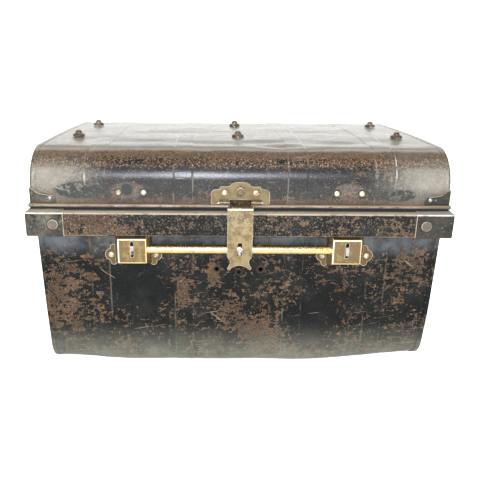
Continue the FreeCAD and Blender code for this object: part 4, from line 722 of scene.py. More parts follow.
def make_materials(finish):
    """Makes each material once, under the short name by which pieces ask for it."""
    MATERIALS.update(
        body=japan_body(finish), lid=japan_lid(finish), rim=japan_rim(finish), bead=rubbed_bead(finish),
        inside=inner_varnish(), cap=worn_cap(finish),
        # The rivet heads' brass is whitened as a painted highlight.
        brass=old_brass("old_brass", finish, light=0.8, pale=0.38),
        plate=old_brass("plate_brass", finish, dark=0.03, light=0.28, olive=0.25),
        strap=old_brass("strap_brass", finish, dark=0.04, light=0.52, olive=0.35, knuckle=True),
        bar=old_brass("bar_brass", finish, dark=-0.12, smooth=0.12, light=1.15),
        case=old_brass("case_brass", finish, dark=0.11, light=0.42, case=True),
        iron=black_iron("black_iron", finish), stud=worn_stud(finish), steel=dull_steel())


# ---------------------------------------------------------------- mesh tools
def placed(name, data):
    """A new object of the data, linked to the scene."""
    obj = bpy.data.objects.new(name, data)
    bpy.context.scene.collection.objects.link(obj)
    return obj


def shaded(name, mesh, materials, sharp):
    """A new object of the mesh in its materials, smooth but for the edges sharper than an angle."""
    for material in materials:
        mesh.materials.append(MATERIALS[material])
    mesh.polygons.foreach_set("use_smooth", [True] * len(mesh.polygons))
    mesh.set_sharp_from_angle(angle=sharp)
    return placed(name, mesh)


def piece(name, points, faces, body, materials, node, sharp=SHARP, thickness=0.0, outward=None,
          rubbed=None):
    """A mesh object made from arrays, welded and facing outwards, that rides on a body and stands in for
    a node of the frame.

    outward(point) is a direction out of the sheet there; rubbed marks worn outlines, point by point. With
    a thickness the sheet grows inwards, and its inside takes the last of the materials."""
    mesh = bpy.data.meshes.new(name)
    mesh.from_pydata(np.asarray(points, float).reshape(-1, 3).tolist(), [], [list(f) for f in faces])
    if rubbed is not None:
        layer = mesh.attributes.new("rubbed", "FLOAT", "POINT")
        layer.data.foreach_set("value", np.asarray(rubbed, float).ravel())
    work = bmesh.new()
    work.from_mesh(mesh)
    bmesh.ops.remove_doubles(work, verts=work.verts, dist=2e-6)
    bmesh.ops.dissolve_degenerate(work, edges=work.edges, dist=1e-7)
    bmesh.ops.recalc_face_normals(work, faces=work.faces)
    work.normal_update()
    if outward is not None:
        agree = sum(f.normal.dot(outward(f.calc_center_median())) * f.calc_area() for f in work.faces)
        if agree < 0:
            bmesh.ops.reverse_faces(work, faces=work.faces)
    work.to_mesh(mesh)
    work.free()
    obj = shaded(name, mesh, materials, sharp)
    if thickness:
        wall = obj.modifiers.new("wall", "SOLIDIFY")
        wall.thickness = thickness
        wall.offset = -1.0
        wall.use_even_offset = True
        wall.material_offset = len(materials) - 1
        wall.material_offset_rim = 0
    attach(obj, body)
    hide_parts(node)
    return obj


def grid_faces(rows, columns, closed_rows=False, closed_columns=False, start=0):
    """Quads of a grid of points in row-major order, numbered from start."""
    i = np.arange(rows if closed_rows else rows - 1)[:, None]
    j = np.arange(columns if closed_columns else columns - 1)[None, :]
    next_i, next_j = (i + 1) % rows, (j + 1) % columns
    quads = np.stack([i * columns + j, next_i * columns + j, next_i * columns + next_j,
                      i * columns + next_j], axis=-1)
    return (quads.reshape(-1, 4) + start).tolist()


def rounded(corners, radii, steps=10):
    """Polyline through the corners with an arc of steps pieces at each inner corner of radius > 0."""
    corners = [np.asarray(c, float) for c in corners]
    run = [corners[0][None]]
    for before, corner, after, radius in zip(corners, corners[1:], corners[2:], radii):
        back, ahead = before - corner, after - corner
        back, ahead = back / np.linalg.norm(back), ahead / np.linalg.norm(ahead)
        half = math.acos(float(np.clip(back @ ahead, -1, 1))) / 2
        if radius <= 0:
            run.append(corner[None])
            continue
        centre = corner + (back + ahead) / np.linalg.norm(back + ahead) * radius / math.sin(half)
        first = corner + back * radius / math.tan(half) - centre
        second = corner + ahead * radius / math.tan(half) - centre
        t = np.linspace(0, 1, steps + 1)[:, None]
        sweep = math.pi - 2 * half
        run.append(centre + (first * np.sin((1 - t) * sweep) + second * np.sin(t * sweep)) / math.sin(sweep))
    run.append(corners[-1][None])
    return np.concatenate(run)


def refined(line, longest):
    """The polyline with its long pieces divided so that none is over the longest length."""
    parts = []
    for a, b in zip(line, line[1:]):
        count = max(int(np.ceil(np.linalg.norm(b - a) / longest)), 1)
        parts.append(a + (b - a) * np.linspace(0, 1, count, endpoint=False)[:, None])
    return np.concatenate(parts + [line[-1:]])


def sideways(line):
    """Unit vectors square to a polyline in its plane, to its left, averaged at the points."""
    steps = np.diff(line, axis=0)
    steps /= np.linalg.norm(steps, axis=1)[:, None]
    tangent = np.vstack([steps[:1], steps[:-1] + steps[1:], steps[-1:]])
    tangent /= np.linalg.norm(tangent, axis=1)[:, None]
    return np.stack([-tangent[:, 1], tangent[:, 0]], axis=1)


def smoothstep(t):
    """0 up to t = 0 and 1 from t = 1, with 3 t squared - 2 t cubed between."""
    t = np.clip(t, 0, 1)
    return t * t * (3 - 2 * t)


def swage_rise(x, shape):
    """Height of the rolled bands over x: a smooth ramp up to a flat crest at each centre."""
    far = np.min([np.abs(x - centre) for centre in SWAGES], axis=0)
    return shape.swage * smoothstep((shape.swage_width / 2 - far) / shape.ramp)


def swage_columns(end, spacing, shape):
    """x positions from -end to end: even spacing, and closer ones over the ramps of the bands."""
    cuts = [-end, end]
    for centre in SWAGES:
        for side in (-1, 1):
            foot = centre + side * shape.swage_width / 2
            cuts.extend(foot - side * shape.ramp * t for t in (-0.15, 0, 0.2, 0.4, 0.6, 0.8, 1.0, 1.15))
    cuts = np.unique(np.round(cuts, 7))
    return refined(np.column_stack([cuts, cuts * 0]), spacing)[:, 0]


def ripple(a, b, seed, wave, count=7):
    """Smooth unevenness between about -1 and 1: waves of like length in several directions, summed."""
    draw = np.random.default_rng(seed)
    angle = draw.uniform(0, math.pi, count)
    length = wave * draw.uniform(0.7, 1.6, count)
    phase = draw.uniform(0, 2 * math.pi, count)
    total = 0
    for turn, period, shift in zip(angle, length, phase):
        total = total + np.sin((a * np.cos(turn) + b * np.sin(turn)) * 2 * math.pi / period + shift)
    return total / count * 1.6


def dint(a, b, at, size, turn=0.0):
    """One dint: a bell of height 1 at a place, stretched to size and turned."""
    u, v = a - at[0], b - at[1]
    along = u * math.cos(turn) + v * math.sin(turn)
    across = -u * math.sin(turn) + v * math.cos(turn)
    return np.exp(-(along / size[0]) ** 2 - (across / size[1]) ** 2)


# ---------------------------------------------------------------- sheets
def knocked(points, shape):
    """Points of the body with its lower front corners beaten up and in.

    rise = knock * (right + 0.45 left) * near: right and left grow towards the ends, and near is 1 at the
    lower front edge, 0 above 115 mm and behind the front 60 mm. A point moves up by rise and in by half."""
    x, y, z = points[..., 0], points[..., 1], points[..., 2]
    ends = smoothstep((x - 0.10) / 0.20) + 0.45 * smoothstep((-0.16 - x) / 0.13)
    near = smoothstep((0.115 - z) / 0.10) * smoothstep((-0.06 - y) / 0.11)
    rise = shape.knock * ends * near
    return np.stack([x, y + rise / 2, z + rise], axis=-1)


def wrapped_sheet(line, outward_2d, columns, half_at, dents, shape):
    """Points of a swaged sheet: the (y, z) line carried along x, moved outwards by bands and dents.

    half_at(z) gives the sheet's half width, so that leaning ends are met by the outer columns. The
    bands are lower where the sheet lies flat on the floor."""
    z = line[None, :, 1]
    last = columns[-1]
    inner = SWAGES[-1] + shape.swage_width
    reach = (np.abs(columns)[:, None] - inner) / (last - inner)
    x = np.where(reach > 0, np.sign(columns)[:, None] * (inner + reach * (half_at(z) - inner)),
                 columns[:, None] + 0 * z)
    foot = FLOOR_SHARE + (1 - FLOOR_SHARE) * smoothstep((z - 0.002) / 0.03)
    push = swage_rise(x, shape) * foot + dents(x, line)
    y = line[None, :, 0] + push * outward_2d[None, :, 0]
    z = z + push * outward_2d[None, :, 1]
    return np.stack([x, y, z], axis=-1)


def body_half(z, shape):
    """Half width of the body over z: 297.2 mm under the rim, leaning in towards the floor."""
    return BODY_HALF_WIDTH + shape.lean * (z - RIM_FOOT)


def lid_half(z, shape):
    """Half width of the lid over z: 300.8 mm at its foot, leaning in from 290 mm upwards.

    The two straight runs are joined by a short bend, (d + sqrt(d squared + w squared)) / 2 over d."""
    above = z - LID_LEAN_START
    return LID_HALF_WIDTH - shape.lid_lean * (above + np.sqrt(above ** 2 + 0.004 ** 2)) / 2


def body_shell(shape):
    """Front, bottom and back of the body in one sheet."""
    half, floor, top = BODY_HALF_DEPTH, FLOOR_SHARE * shape.swage, high_body.z
    line = refined(rounded([(-half, top), (-half, floor), (half, floor), (half, top)],
                           [shape.floor_bend] * 2, 16), 0.006)
    outward = -sideways(line)
    columns = swage_columns(0.297, 0.006, shape)

    def dents(x, line):
        """Long and short ripples, slack bends and three dints in the front; all of it inwards."""
        y, z = line[None, :, 0], line[None, :, 1]
        along = np.where(z > 0.04, z, np.abs(y) - 0.165 - z)
        calm = smoothstep((0.225 - z) / 0.03)
        bent = smoothstep((0.07 - z) / 0.05) * smoothstep((np.abs(y) - 0.12) / 0.05)
        push = ripple(x, along + y, 11, 0.13) * 0.00022 + ripple(x, along, 12, 0.05) * 0.00006
        push = push - 0.0006 * bent * (0.6 + 0.6 * ripple(x, along, 13, 0.08))
        front = (y < -0.15) * 1.0
        for depth, at, size, turn in ((0.0009, (0.045, 0.115), (0.035, 0.02), 0.3),
                                      (0.0007, (-0.13, 0.06), (0.03, 0.012), -0.4),
                                      (0.0008, (0.235, 0.09), (0.02, 0.04), 0.2)):
            push = push - depth * front * dint(x, z, at, size, turn)
        return np.minimum(push * shape.dents * calm, 0.0) - 0.00005

    points = wrapped_sheet(line, outward, columns, lambda z: body_half(z, shape) - shape.gauge - 0.0001,
                           dents, shape)
    obj = piece("body_sheet", knocked(points, shape), grid_faces(*points.shape[:2]), "trunk_body",
                ("body", "inside"), "body_wrap", thickness=shape.gauge,
                outward=lambda p: Vector((0, p.y, p.z - 0.2)))
    drill(obj, HOLES)


def drill(obj, holes):
    """Cuts round holes, each an x, a z and a radius, through the front wall."""
    bpy.context.view_layer.objects.active = obj
    bpy.ops.object.modifier_apply(modifier="wall")
    sides = 32
    turn = np.linspace(0, 2 * math.pi, sides, endpoint=False)
    for x, z, radius in holes:
        circle = np.column_stack([x + radius * np.cos(turn), 0 * turn, z + radius * np.sin(turn)])
        ends = [circle + (0, -0.21, 0), circle + (0, -0.19, 0)]
        mesh = bpy.data.meshes.new("drill")
        faces = grid_faces(2, sides, closed_columns=True)
        faces += [list(range(sides)), list(range(2 * sides - 1, sides - 1, -1))]
        mesh.from_pydata(np.concatenate(ends).tolist(), [], faces)
        work = bmesh.new()
        work.from_mesh(mesh)
        bmesh.ops.recalc_face_normals(work, faces=work.faces)
        work.to_mesh(mesh)
        work.free()
        tool = placed("drill", mesh)
        cut = obj.modifiers.new("cut", "BOOLEAN")
        cut.operation, cut.object, cut.solver = "DIFFERENCE", tool, "EXACT"
        bpy.ops.object.modifier_apply(modifier="cut")
        bpy.data.objects.remove(tool)
    obj.data.set_sharp_from_angle(angle=SHARP)


def pan(name, side, body, curved, bend, flat_z, wall_x, dents, material, node, shape, moved):
    """End pan: a flat panel between its straight edge and its curved outline, folded over the sheet.

    curved is the outline as (y, z) points, inset by the fold's radius bend. Every panel column runs from
    the straight edge at flat_z to an outline point. wall_x(z) is the panel's face, dents(y, z) presses it
    in, and moved(points) shifts the finished points."""
    sign = SIGN[side]
    outward_2d = sideways(curved)
    middle = curved.mean(axis=0)
    if np.sum(outward_2d * (curved - middle)) < 0:
        outward_2d = -outward_2d
    # The outline's upright ends are the outermost columns; the rest of it ends the other columns.
    upright = np.abs(curved[:, 0]) > np.abs(curved[:, 0]).max() - 1e-7
    crossing = curved[~upright]
    sides = [curved[upright & (curved[:, 0] < 0)], curved[upright & (curved[:, 0] > 0)]]
    corners = [upright_end[[np.argmax(np.abs(upright_end[:, 1] - flat_z))]] for upright_end in sides]
    ladder = np.linspace(0, 1, len(sides[0]))
    columns = []
    for y, z in np.vstack([corners[0], crossing, corners[1]]):
        heights = flat_z + (z - flat_z) * ladder
        columns.append(np.column_stack([np.full_like(heights, y), heights]))
    sheet = np.array(columns)
    y, z = sheet[..., 0], sheet[..., 1]
    x = wall_x(z) - dents(y, z) * smoothstep((0.19 - np.abs(y)) / 0.05)
    panel = np.stack([sign * x, y, z], axis=-1)
    faces = grid_faces(*panel.shape[:2])
    # The folded edge: a quarter turn, then straight back along the wrapped sheet.
    border = np.vstack([sheet[0], sheet[1:-1, -1], sheet[-1][::-1]])
    steps = np.diff(border, axis=0)
    keep = np.r_[True, np.linalg.norm(steps, axis=1) > 1e-7]
    border = border[keep]
    side_way = sideways(border)
    if np.sum(side_way * (border - border.mean(axis=0))) < 0:
        side_way = -side_way
    turn = np.linspace(0, math.pi / 2, 7)
    reach = np.r_[bend * np.sin(turn), bend, bend]
    back = np.r_[bend * (1 - np.cos(turn)), PAN_FOLD * 0.5, PAN_FOLD]
    rows = border[None] + side_way[None] * reach[:, None, None]
    fold_x = wall_x(border[:, 1])[None] - back[:, None]
    strip = np.stack([sign * fold_x, rows[..., 0], rows[..., 1]], axis=-1)
    faces += grid_faces(*strip.shape[:2], start=panel.size // 3)
    points = moved(np.concatenate([panel.reshape(-1, 3), strip.reshape(-1, 3)]))
    piece(name, points, faces, body, (material, "inside"), node, thickness=shape.gauge,
          outward=lambda p: Vector((sign, p.y * 0.2, (p.z - middle[1]) * 0.2)))


def body_ends(shape):
    """Both leaning end pans of the body."""
    bend, proud = 0.0014, 0.0003
    half, top = BODY_HALF_DEPTH + proud - bend, high_body.z - 0.0002
    floor = FLOOR_SHARE * shape.swage - proud + bend
    radius = shape.floor_bend + proud - bend
    line = rounded([(-half, top), (-half, floor), (half, floor), (half, top)], [radius] * 2, 14)
    uprights = refined(line[:2], 0.009)
    across = refined(line[1:-1], 0.009)
    line = np.vstack([uprights[:-1], across, uprights[:-1][::-1] * (-1, 1)])
    for side, seed in (("left", 31), ("right", 37)):
        def dents(y, z, seed=seed):
            """Ripples and one dint, calm at the edges and where the handle's eyes sit."""
            push = 0.0007 * (0.5 + 0.5 * ripple(y, z, seed, 0.16)) + 0.0002 * ripple(y, z, seed + 1, 0.05)
            push = push + 0.0012 * dint(y, z, (0.06, 0.07), (0.04, 0.025), 0.4)
            calm = smoothstep((0.20 - z) / 0.03) * smoothstep((z - 0.004) / 0.02)
            grip = 1 - np.exp(-((np.abs(y) - HANDLE_Y) / 0.02) ** 2 - ((z - HANDLE_Z) / 0.035) ** 2)
            return np.maximum(push, 0) * shape.dents * calm * grip

        pan(f"body_end_sheet_{side}", side, "trunk_body", line, bend, top,
            lambda z: body_half(z, shape) - 0.00003, dents, "body", f"body_end_{side}", shape,
            lambda points: knocked(points, shape))


def lid_line(outset, shape):
    """Lid profile (y, z) from the front edge over the crown to the rear edge, moved out by outset.

    Upright wall, a bend of lid_bend round a centre 32.8 mm above the edge, and a crown arc that
    leaves both bends smoothly: its centre lies crown - lid_bend away from each bend's centre."""
    half = LID_HALF_DEPTH + outset
    arc_y = LID_HALF_DEPTH - shape.lid_bend
    arc_z = edge_height + LID_ARC_RISE
    angle = math.asin(arc_y / (shape.crown - shape.lid_bend))
    crown_z = arc_z - (shape.crown - shape.lid_bend) * math.cos(angle)
    turn = np.linspace(math.pi, math.pi / 2 + angle, 22)
    bend = shape.lid_bend + outset
    front = np.column_stack([-arc_y + bend * np.cos(turn), arc_z + bend * np.sin(turn)])
    sweep = np.linspace(-angle, angle, 49)[1:-1]
    top = np.column_stack([(shape.crown + outset) * np.sin(sweep),
                           crown_z + (shape.crown + outset) * np.cos(sweep)])
    wall = refined(np.array([(-half, edge_height), front[0]]), 0.004)
    run = np.vstack([wall[:-1], front])
    return np.vstack([run, top, run[::-1] * (-1, 1)])


def top_dents(x, y, shape):
    """How far the lid's top is pressed in: long dints along the front, ripples and a few knocks."""
    push = 0.0009 * (0.45 + 0.55 * ripple(x * 0.6, y, 5, 0.10)) + 0.0003 * ripple(x, y * 1.4, 6, 0.045)
    for at, size, turn, depth in (((-0.15, -0.12), (0.05, 0.014), 0.10, 0.0024),
                                  ((-0.05, -0.135), (0.06, 0.012), -0.05, 0.0022),
                                  ((0.04, -0.125), (0.045, 0.012), 0.12, 0.0028),
                                  ((0.06, -0.158), (0.035, 0.012), -0.10, 0.0034),
                                  ((0.15, -0.13), (0.055, 0.014), 0.06, 0.0022),
                                  ((0.22, -0.11), (0.04, 0.02), -0.15, 0.0018),
                                  ((-0.24, -0.10), (0.035, 0.018), 0.2, 0.0018),
                                  ((-0.09, -0.03), (0.07, 0.02), 0.08, 0.0016),
                                  ((0.12, -0.02), (0.06, 0.022), -0.12, 0.0018),
                                  ((0.02, 0.07), (0.08, 0.025), 0.05, 0.0016),
                                  ((-0.18, 0.09), (0.05, 0.025), -0.2, 0.0014),
                                  ((0.19, 0.10), (0.05, 0.02), 0.15, 0.0014)):
        push = push + depth * dint(x, y, at, size, turn)
    return np.maximum(push, 0) * shape.dents


def flatter(points):
    """Points of the lid with the crown worn flatter towards both ends.

    A point sinks by 1.6 mm * (1 - (y / 156 mm) squared), faded in over x from 200 to 290 mm and over z
    from 330 to 342 mm."""
    x, y, z = points[..., 0], points[..., 1], points[..., 2]
    level = np.clip(1 - (y / 0.156) ** 2, 0, 1)
    sink = 0.0016 * level * smoothstep((np.abs(x) - 0.20) / 0.09) * smoothstep((z - 0.330) / 0.012)
    return np.stack([x, y, z - sink], axis=-1)


def lid_shell(shape):
    """Front, top and back of the lid in one sheet, dented by use."""
    line = lid_line(0.0, shape)
    outward = sideways(line)
    if outward[len(line) // 2, 1] < 0:
        outward = -outward
    columns = swage_columns(0.2998, 0.006, shape)

    def dents(x, line):
        """The top's dints, none under the studs or at the ends, and a faint ripple of the walls."""
        y, z = line[None, :, 0], line[None, :, 1]
        upper = smoothstep((z - 0.305) / 0.03)
        studs = 1.0
        for stud_x, stud_y in STUDS:
            studs = studs * (1 - np.exp(-((x - stud_x) ** 2 + (y - stud_y) ** 2) / 0.018 ** 2))
        ends = smoothstep((0.290 - np.abs(x)) / 0.02)
        return -(top_dents(x, y, shape) * upper * studs * ends
                 + 0.00012 * (1 + ripple(x, z + y, 8, 0.07)) * (1 - upper) * smoothstep((z - 0.27) / 0.01)
                 + 0.00005)

    points = wrapped_sheet(line, outward, columns, lambda z: lid_half(z, shape) - 0.0010, dents, shape)
    piece("lid_sheet", flatter(points), grid_faces(*points.shape[:2]), "lid",
          ("lid", "inside"), "lid_wrap", thickness=shape.gauge,
          outward=lambda p: Vector((0, p.y, p.z - 0.27)))


def lid_ends(shape):
    """Both end pans of the lid."""
    bend, proud = 0.0020, 0.0001
    line = lid_line(proud - bend, shape)
    for side, seed in (("left", 41), ("right", 47)):
        def dents(y, z, seed=seed):
            """Ripples, calm along the upper and lower edges."""
            push = 0.0006 * (0.5 + 0.5 * ripple(y, z, seed, 0.12)) + 0.0002 * ripple(y, z, seed + 1, 0.04)
            return (np.maximum(push, 0) * shape.dents * smoothstep((0.335 - z) / 0.02)
                    * smoothstep((z - 0.27) / 0.02))

        pan(f"lid_end_sheet_{side}", side, "lid", line, bend, edge_height, lambda z: lid_half(z, shape),
            dents, "lid", f"lid_end_{side}", shape, flatter)


# ---------------------------------------------------------------- rims
def ring(profile, half_width, half_depth, corner, wobble, spacing=0.012):
    """A closed profile of (offset, z) carried round a rectangle with rounded corners.

    Each profile point runs its own rectangle, so the corners are mitred: four arcs of radius corner +
    offset, with straight runs between them in pieces of about the spacing. wobble(x, y) adds a small rise
    or fall along the run."""
    counts = [int(2 * half_depth / spacing), int(2 * half_width / spacing)] * 2
    lines = []
    for offset, _ in profile:
        w, d = half_width + offset, half_depth + offset
        r = max(corner + offset, 0.0004)
        arcs = []
        for x, y, start in ((w - r, -d + r, -90), (w - r, d - r, 0), (-w + r, d - r, 90),
                            (-w + r, -d + r, 180)):
            turn = np.radians(np.linspace(start, start + 90, 5))
            arcs.append(np.column_stack([x + r * np.cos(turn), y + r * np.sin(turn)]))
        line = []
        for arc, following, count in zip(arcs, arcs[1:] + arcs[:1], counts):
            line += [arc, arc[-1] + (following[0] - arc[-1]) * np.linspace(0, 1, count + 2)[1:-1, None]]
        lines.append(np.concatenate(line))
    flat = np.array(lines)
    z = np.array([p[1] for p in profile])[:, None] + wobble(flat[..., 0], flat[..., 1])
    return np.dstack([flat, z])


def uneven(seed, slow, quick, shape):
    """Unevenness along a run: a slow ripple and a quick one, each given as its height and wave length."""
    def wobble(x, y):
        return (slow[0] * ripple(x, y, seed, slow[1])
                + quick[0] * ripple(x, y, seed + 1, quick[1])) * shape.dents
    return wobble


def rim_profile(outset):
    """(offset, z) line of the folded rim moved out by outset: floor, upright face, sloping shoulder.

    The bend below the shoulder rises by outset * (sqrt(1 + slope squared) - slope), so that the moved
    shoulder lies outset away from the first one."""
    low = RIM_FOOT - outset
    shoulder = RIM_SHOULDER + outset * (math.hypot(1, RIM_SLOPE) - RIM_SLOPE)
    top = shoulder + RIM_SLOPE * (RIM_DEPTH + outset)
    return rounded([(-RIM_DEPTH, low), (outset, low), (outset, shoulder), (-RIM_DEPTH, top)],
                   [0.0016 + outset] * 2, 5)


def closed_ring(name, profile, half_width, half_depth, corner, wobble, body, material, node, sharp):
    """A piece of one closed profile run round the trunk."""
    points = ring(profile, half_width, half_depth, corner, wobble)
    piece(name, points, grid_faces(*points.shape[:2], closed_rows=True, closed_columns=True), body,
          (material,), node, sharp=math.radians(sharp))


def rim(shape):
    """Hollow rim round the body, one folded strip mitred at the corners."""
    outer = rim_profile(0.0)
    inner = outer + sideways(outer) * shape.gauge
    closed_ring("rim_strip", np.vstack([outer, inner[::-1]]), high_rim.x, high_rim.y, 0.0012,
                uneven(21, (0.00022, 0.22), (0.00008, 0.05), shape), "trunk_body", "rim", "rim_channel", 50)


def rolled_edge(shape):
    """Wired edge of the lid: a round section run round its mouth."""
    turn = np.linspace(0, 2 * math.pi, 24, endpoint=False)
    radius = (high_edge.z - low_edge.z) / 2
    profile = np.column_stack([radius * np.cos(turn), edge_height + radius * np.sin(turn)])
    closed_ring("lid_bead", profile, high_edge.x - radius, high_edge.y - radius, 0.0022,
                uneven(25, (0.00016, 0.18), (0.00006, 0.04), shape), "lid", "bead", "lid_rolled_edge", 60)


def corner_strip(profile, corner_x, corner_y, length, radius, sign_x, sign_y):
    """A profile of (offset, z) carried along two legs round one corner; the legs end squarely.

    Each leg starts with points 1.1 mm apart, which bound its rubbed outline, and goes on in even steps."""
    rows = []
    for offset, z in profile:
        w, d = corner_x + offset, corner_y + offset
        r = max(radius + offset, 0.0003)
        turn = np.radians(np.linspace(-90, 0, 7))
        arc = np.column_stack([w - r + r * np.cos(turn), -d + r + r * np.sin(turn)])
        first, last = corner_x - length, -corner_y + length
        front_x = first + np.r_[0, 0.0011, np.linspace(0.0040, arc[0, 0] - first, 13)[:-1]]
        side_y = last - np.r_[0, 0.0011, np.linspace(0.0040, last - arc[-1, 1], 13)[:-1]][::-1]
        front = np.column_stack([front_x, np.full(len(front_x), -d)])
        side = np.column_stack([np.full(len(side_y), w), side_y])
        flat = np.vstack([front, arc, side])
        rows.append(np.column_stack([flat, np.full(len(flat), z)]))
    return np.array(rows) * (sign_x, -sign_y, 1)


def corner_piece(name, points, rubbed_rows, rubbed_columns, corner, body, node):
    """A sheet piece on one corner, marked as rubbed along some of its rows and columns."""
    depth, side = corner.split("_")
    rubbed = np.zeros(points.shape[:2])
    rubbed[rubbed_rows] = 1.0
    rubbed[:, rubbed_columns] = 1.0
    piece(name, points, grid_faces(*points.shape[:2]), body, ("cap",), node,
          thickness=CAP_GAUGE, rubbed=rubbed, outward=lambda p: Vector((SIGN[side], SIGN[depth], 0)))


def rim_caps(shape):
    """Four sheet caps over the rim's corners, rubbed along the ends of their legs."""
    line = rim_profile(0.001)
    line = line[line[:, 0] > -RIM_DEPTH + 1e-6]
    low = np.array([[-0.006, line[0, 1]]])
    high = line[-1:] + np.array([[-0.006, 0.006 * RIM_SLOPE]])
    line = refined(np.vstack([low, line, high]), 0.005)
    for index, corner in enumerate(CORNERS):
        depth, side = corner.split("_")
        points = corner_strip(line, high_rim.x, high_rim.y, CAP_LEG, 0.0016, SIGN[side], SIGN[depth])
        x, y, z = points[..., 0], points[..., 1], points[..., 2]
        push = 0.0004 * np.maximum(ripple(x + y, z, 51 + index, 0.03), 0) * shape.dents
        points[..., 0] -= np.sign(x) * push * (np.abs(x) > high_rim.x)
        points[..., 1] -= np.sign(y) * push * (np.abs(y) > high_rim.y)
        corner_piece(f"rim_corner_{corner}", points, [], [0, -1], corner, "trunk_body", f"rim_cap_{corner}")


def patch_height(run, length):
    """Upper edge of a lid corner patch over the distance from the corner: a peak, a sag, a round end.

    peak = 8.5 mm * exp(-(run / 9.5 mm) squared); the level falls from 14.4 to 12 mm as half a cosine; the
    last 8 mm drop by 6 mm as a quarter ellipse."""
    peak = 0.0085 * np.exp(-(run / 0.0095) ** 2)
    level = 0.0132 + 0.0012 * np.cos(run / length * math.pi)
    end = np.clip((run - (length - 0.008)) / 0.008, 0, 1)
    return level + peak - 0.006 * (1 - np.sqrt(1 - np.minimum(end, 0.999) ** 2))


def lid_corners():
    """Four angle patches on the lower corners of the lid, rubbed along their upper outline."""
    foot = high_edge.z + 0.0001
    base = corner_strip([(0, 0)], PATCH_X, PATCH_Y, PATCH_LEG, 0.0018, 1, -1)[0]
    run = np.minimum(np.abs(PATCH_X - base[:, 0]), 1) + np.minimum(np.abs(base[:, 1] + PATCH_Y), 1)
    tall = patch_height(run, PATCH_LEG)
    rows = [0, 0.2, 0.4, 0.6, 0.78, 0.90, 0.93, 1.0]
    patch = np.array([np.column_stack([base[:, 0], base[:, 1], foot + tall * t]) for t in rows])
    for corner in CORNERS:
        depth, side = corner.split("_")
        corner_piece(f"lid_angle_{corner}", patch * (SIGN[side], -SIGN[depth], 1), -1, [], corner, "lid",
                     f"lid_corner_{corner}")


# ---------------------------------------------------------------- turned pieces
def turned(name, profile, places, body, slot, material, node, segments=32):
    """Solids of revolution: the (radius, height) profile turned round each place's outward axis."""
    profile = np.asarray(profile, float)
    turn = np.linspace(0, 2 * math.pi, segments, endpoint=False)
    shell = np.stack([profile[:, None, 0] * np.cos(turn), profile[:, None, 0] * np.sin(turn),
                      profile[:, None, 1] + 0 * turn], axis=-1).reshape(-1, 3)
    points, faces = [], []
    for index, (place, axis) in enumerate(places):
        tilt = np.array(Vector(axis).to_track_quat("Z", "Y").to_matrix())
        points.append(shell @ tilt.T + np.array(place))
        faces += grid_faces(len(profile), segments, closed_columns=True, start=index * len(shell))
    piece(name, np.concatenate(points), faces, body, (material,), node, sharp=math.radians(40))


def dome(radius, height, depth=0.003, lip=0.0002, steps=9):
    """Profile of a rivet: pole, elliptical head down to its lip, then the shank at half the radius."""
    swing = np.linspace(0, math.pi / 2, steps)
    head = np.column_stack([radius * np.sin(swing), lip + (height - lip) * np.cos(swing)])
    head[0, 0] = 0
    return np.vstack([head, [(radius * 0.985, 0.0)], [(radius * 0.5, -0.00005)], [(radius * 0.5, -depth)],
                      [(0, -depth)]])


def cornered(x, y, z, run):
    """Places and outward axes of eight rivets: at each corner one on either face, run away from it."""
    places = []
    for sx in (-1, 1):
        for sy in (-1, 1):
            places.append(((sx * (x - run), sy * y, z), (0, sy, 0)))
            places.append(((sx * x, sy * (y - run), z), (sx, 0, 0)))
    return places


def paired(x, step, y, z, facing):
    """Places and outward axes of four rivets on a face: a step either way from x, at the left and right."""
    return [((side * x + way * step, y, z), (0, facing, 0)) for side in (-1, 1) for way in (-1, 1)]


def rivets():
    """All riveted heads, in groups as they are set."""
    brass_head = dome(0.0043, BRASS_HEAD, lip=0.0004)
    hinge_head = dome(0.0040, IRON_HEAD)

    def measured(node):
        """Front, rear and middle height of the rivets in the frame."""
        low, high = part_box(node)
        return low.y, high.y, (low.z + high.z) / 2

    turned("rim_corner_rivets", dome(0.0075, 0.0018, 0.002, lip=0.0006, steps=8),
           cornered(cap_x, cap_y, CAP_RIVET_Z, CAP_RIVET_RUN), "trunk_body", "worn_tinplate", "cap",
           "rim_cap_rivets")
    turned("lid_angle_rivets", dome(0.0028, 0.0016),
           cornered(PATCH_X, PATCH_Y, high_edge.z + 0.008, PATCH_RIVET_RUN), "lid", "worn_tinplate", "steel",
           "lid_corner_rivets")
    turned("lost_hasp_rivets", brass_head, paired(LOCK_X, LOST_RIVET_STEP, LOST_RIVET_Y, LOST_RIVET_Z, -1),
           "lid", "old_brass", "brass", "old_hasp_rivets")
    front, _, z = measured("hasp_plate_rivets")
    plate = [((way * PLATE_STEP, front + BRASS_HEAD, z), (0, -1, 0)) for way in (-1, 1)]
    turned("hasp_rivets", brass_head, plate, "lid", "old_brass", "brass", "hasp_plate_rivets")
    front, _, z = measured("lock_box_rivets")
    turned("lock_rivets", brass_head, paired(LOCK_X, EAR_STEP, front + BRASS_HEAD, z, -1), "trunk_body",
           "old_brass", "brass", "lock_box_rivets")
    for half, body in (("body", "trunk_body"), ("lid", "lid")):
        _, rear, z = measured(f"hinge_{half}_rivets")
        turned(f"hinge_{half}_heads", hinge_head, paired(HINGE_X, HINGE_STEP, rear - IRON_HEAD, z, 1), body,
               "black_iron", "iron", f"hinge_{half}_rivets")
    _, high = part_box("handle_rivets")
    eyes = [((side * (high.x - IRON_HEAD), depth * HANDLE_Y, HANDLE_Z + step * HANDLE_STEP), (side, 0, 0))
            for side in (-1, 1) for depth in (-1, 1) for step in (-1, 1)]
    turned("handle_heads", dome(0.0038, IRON_HEAD), eyes, "trunk_body", "black_iron", "iron",
           "handle_rivets")


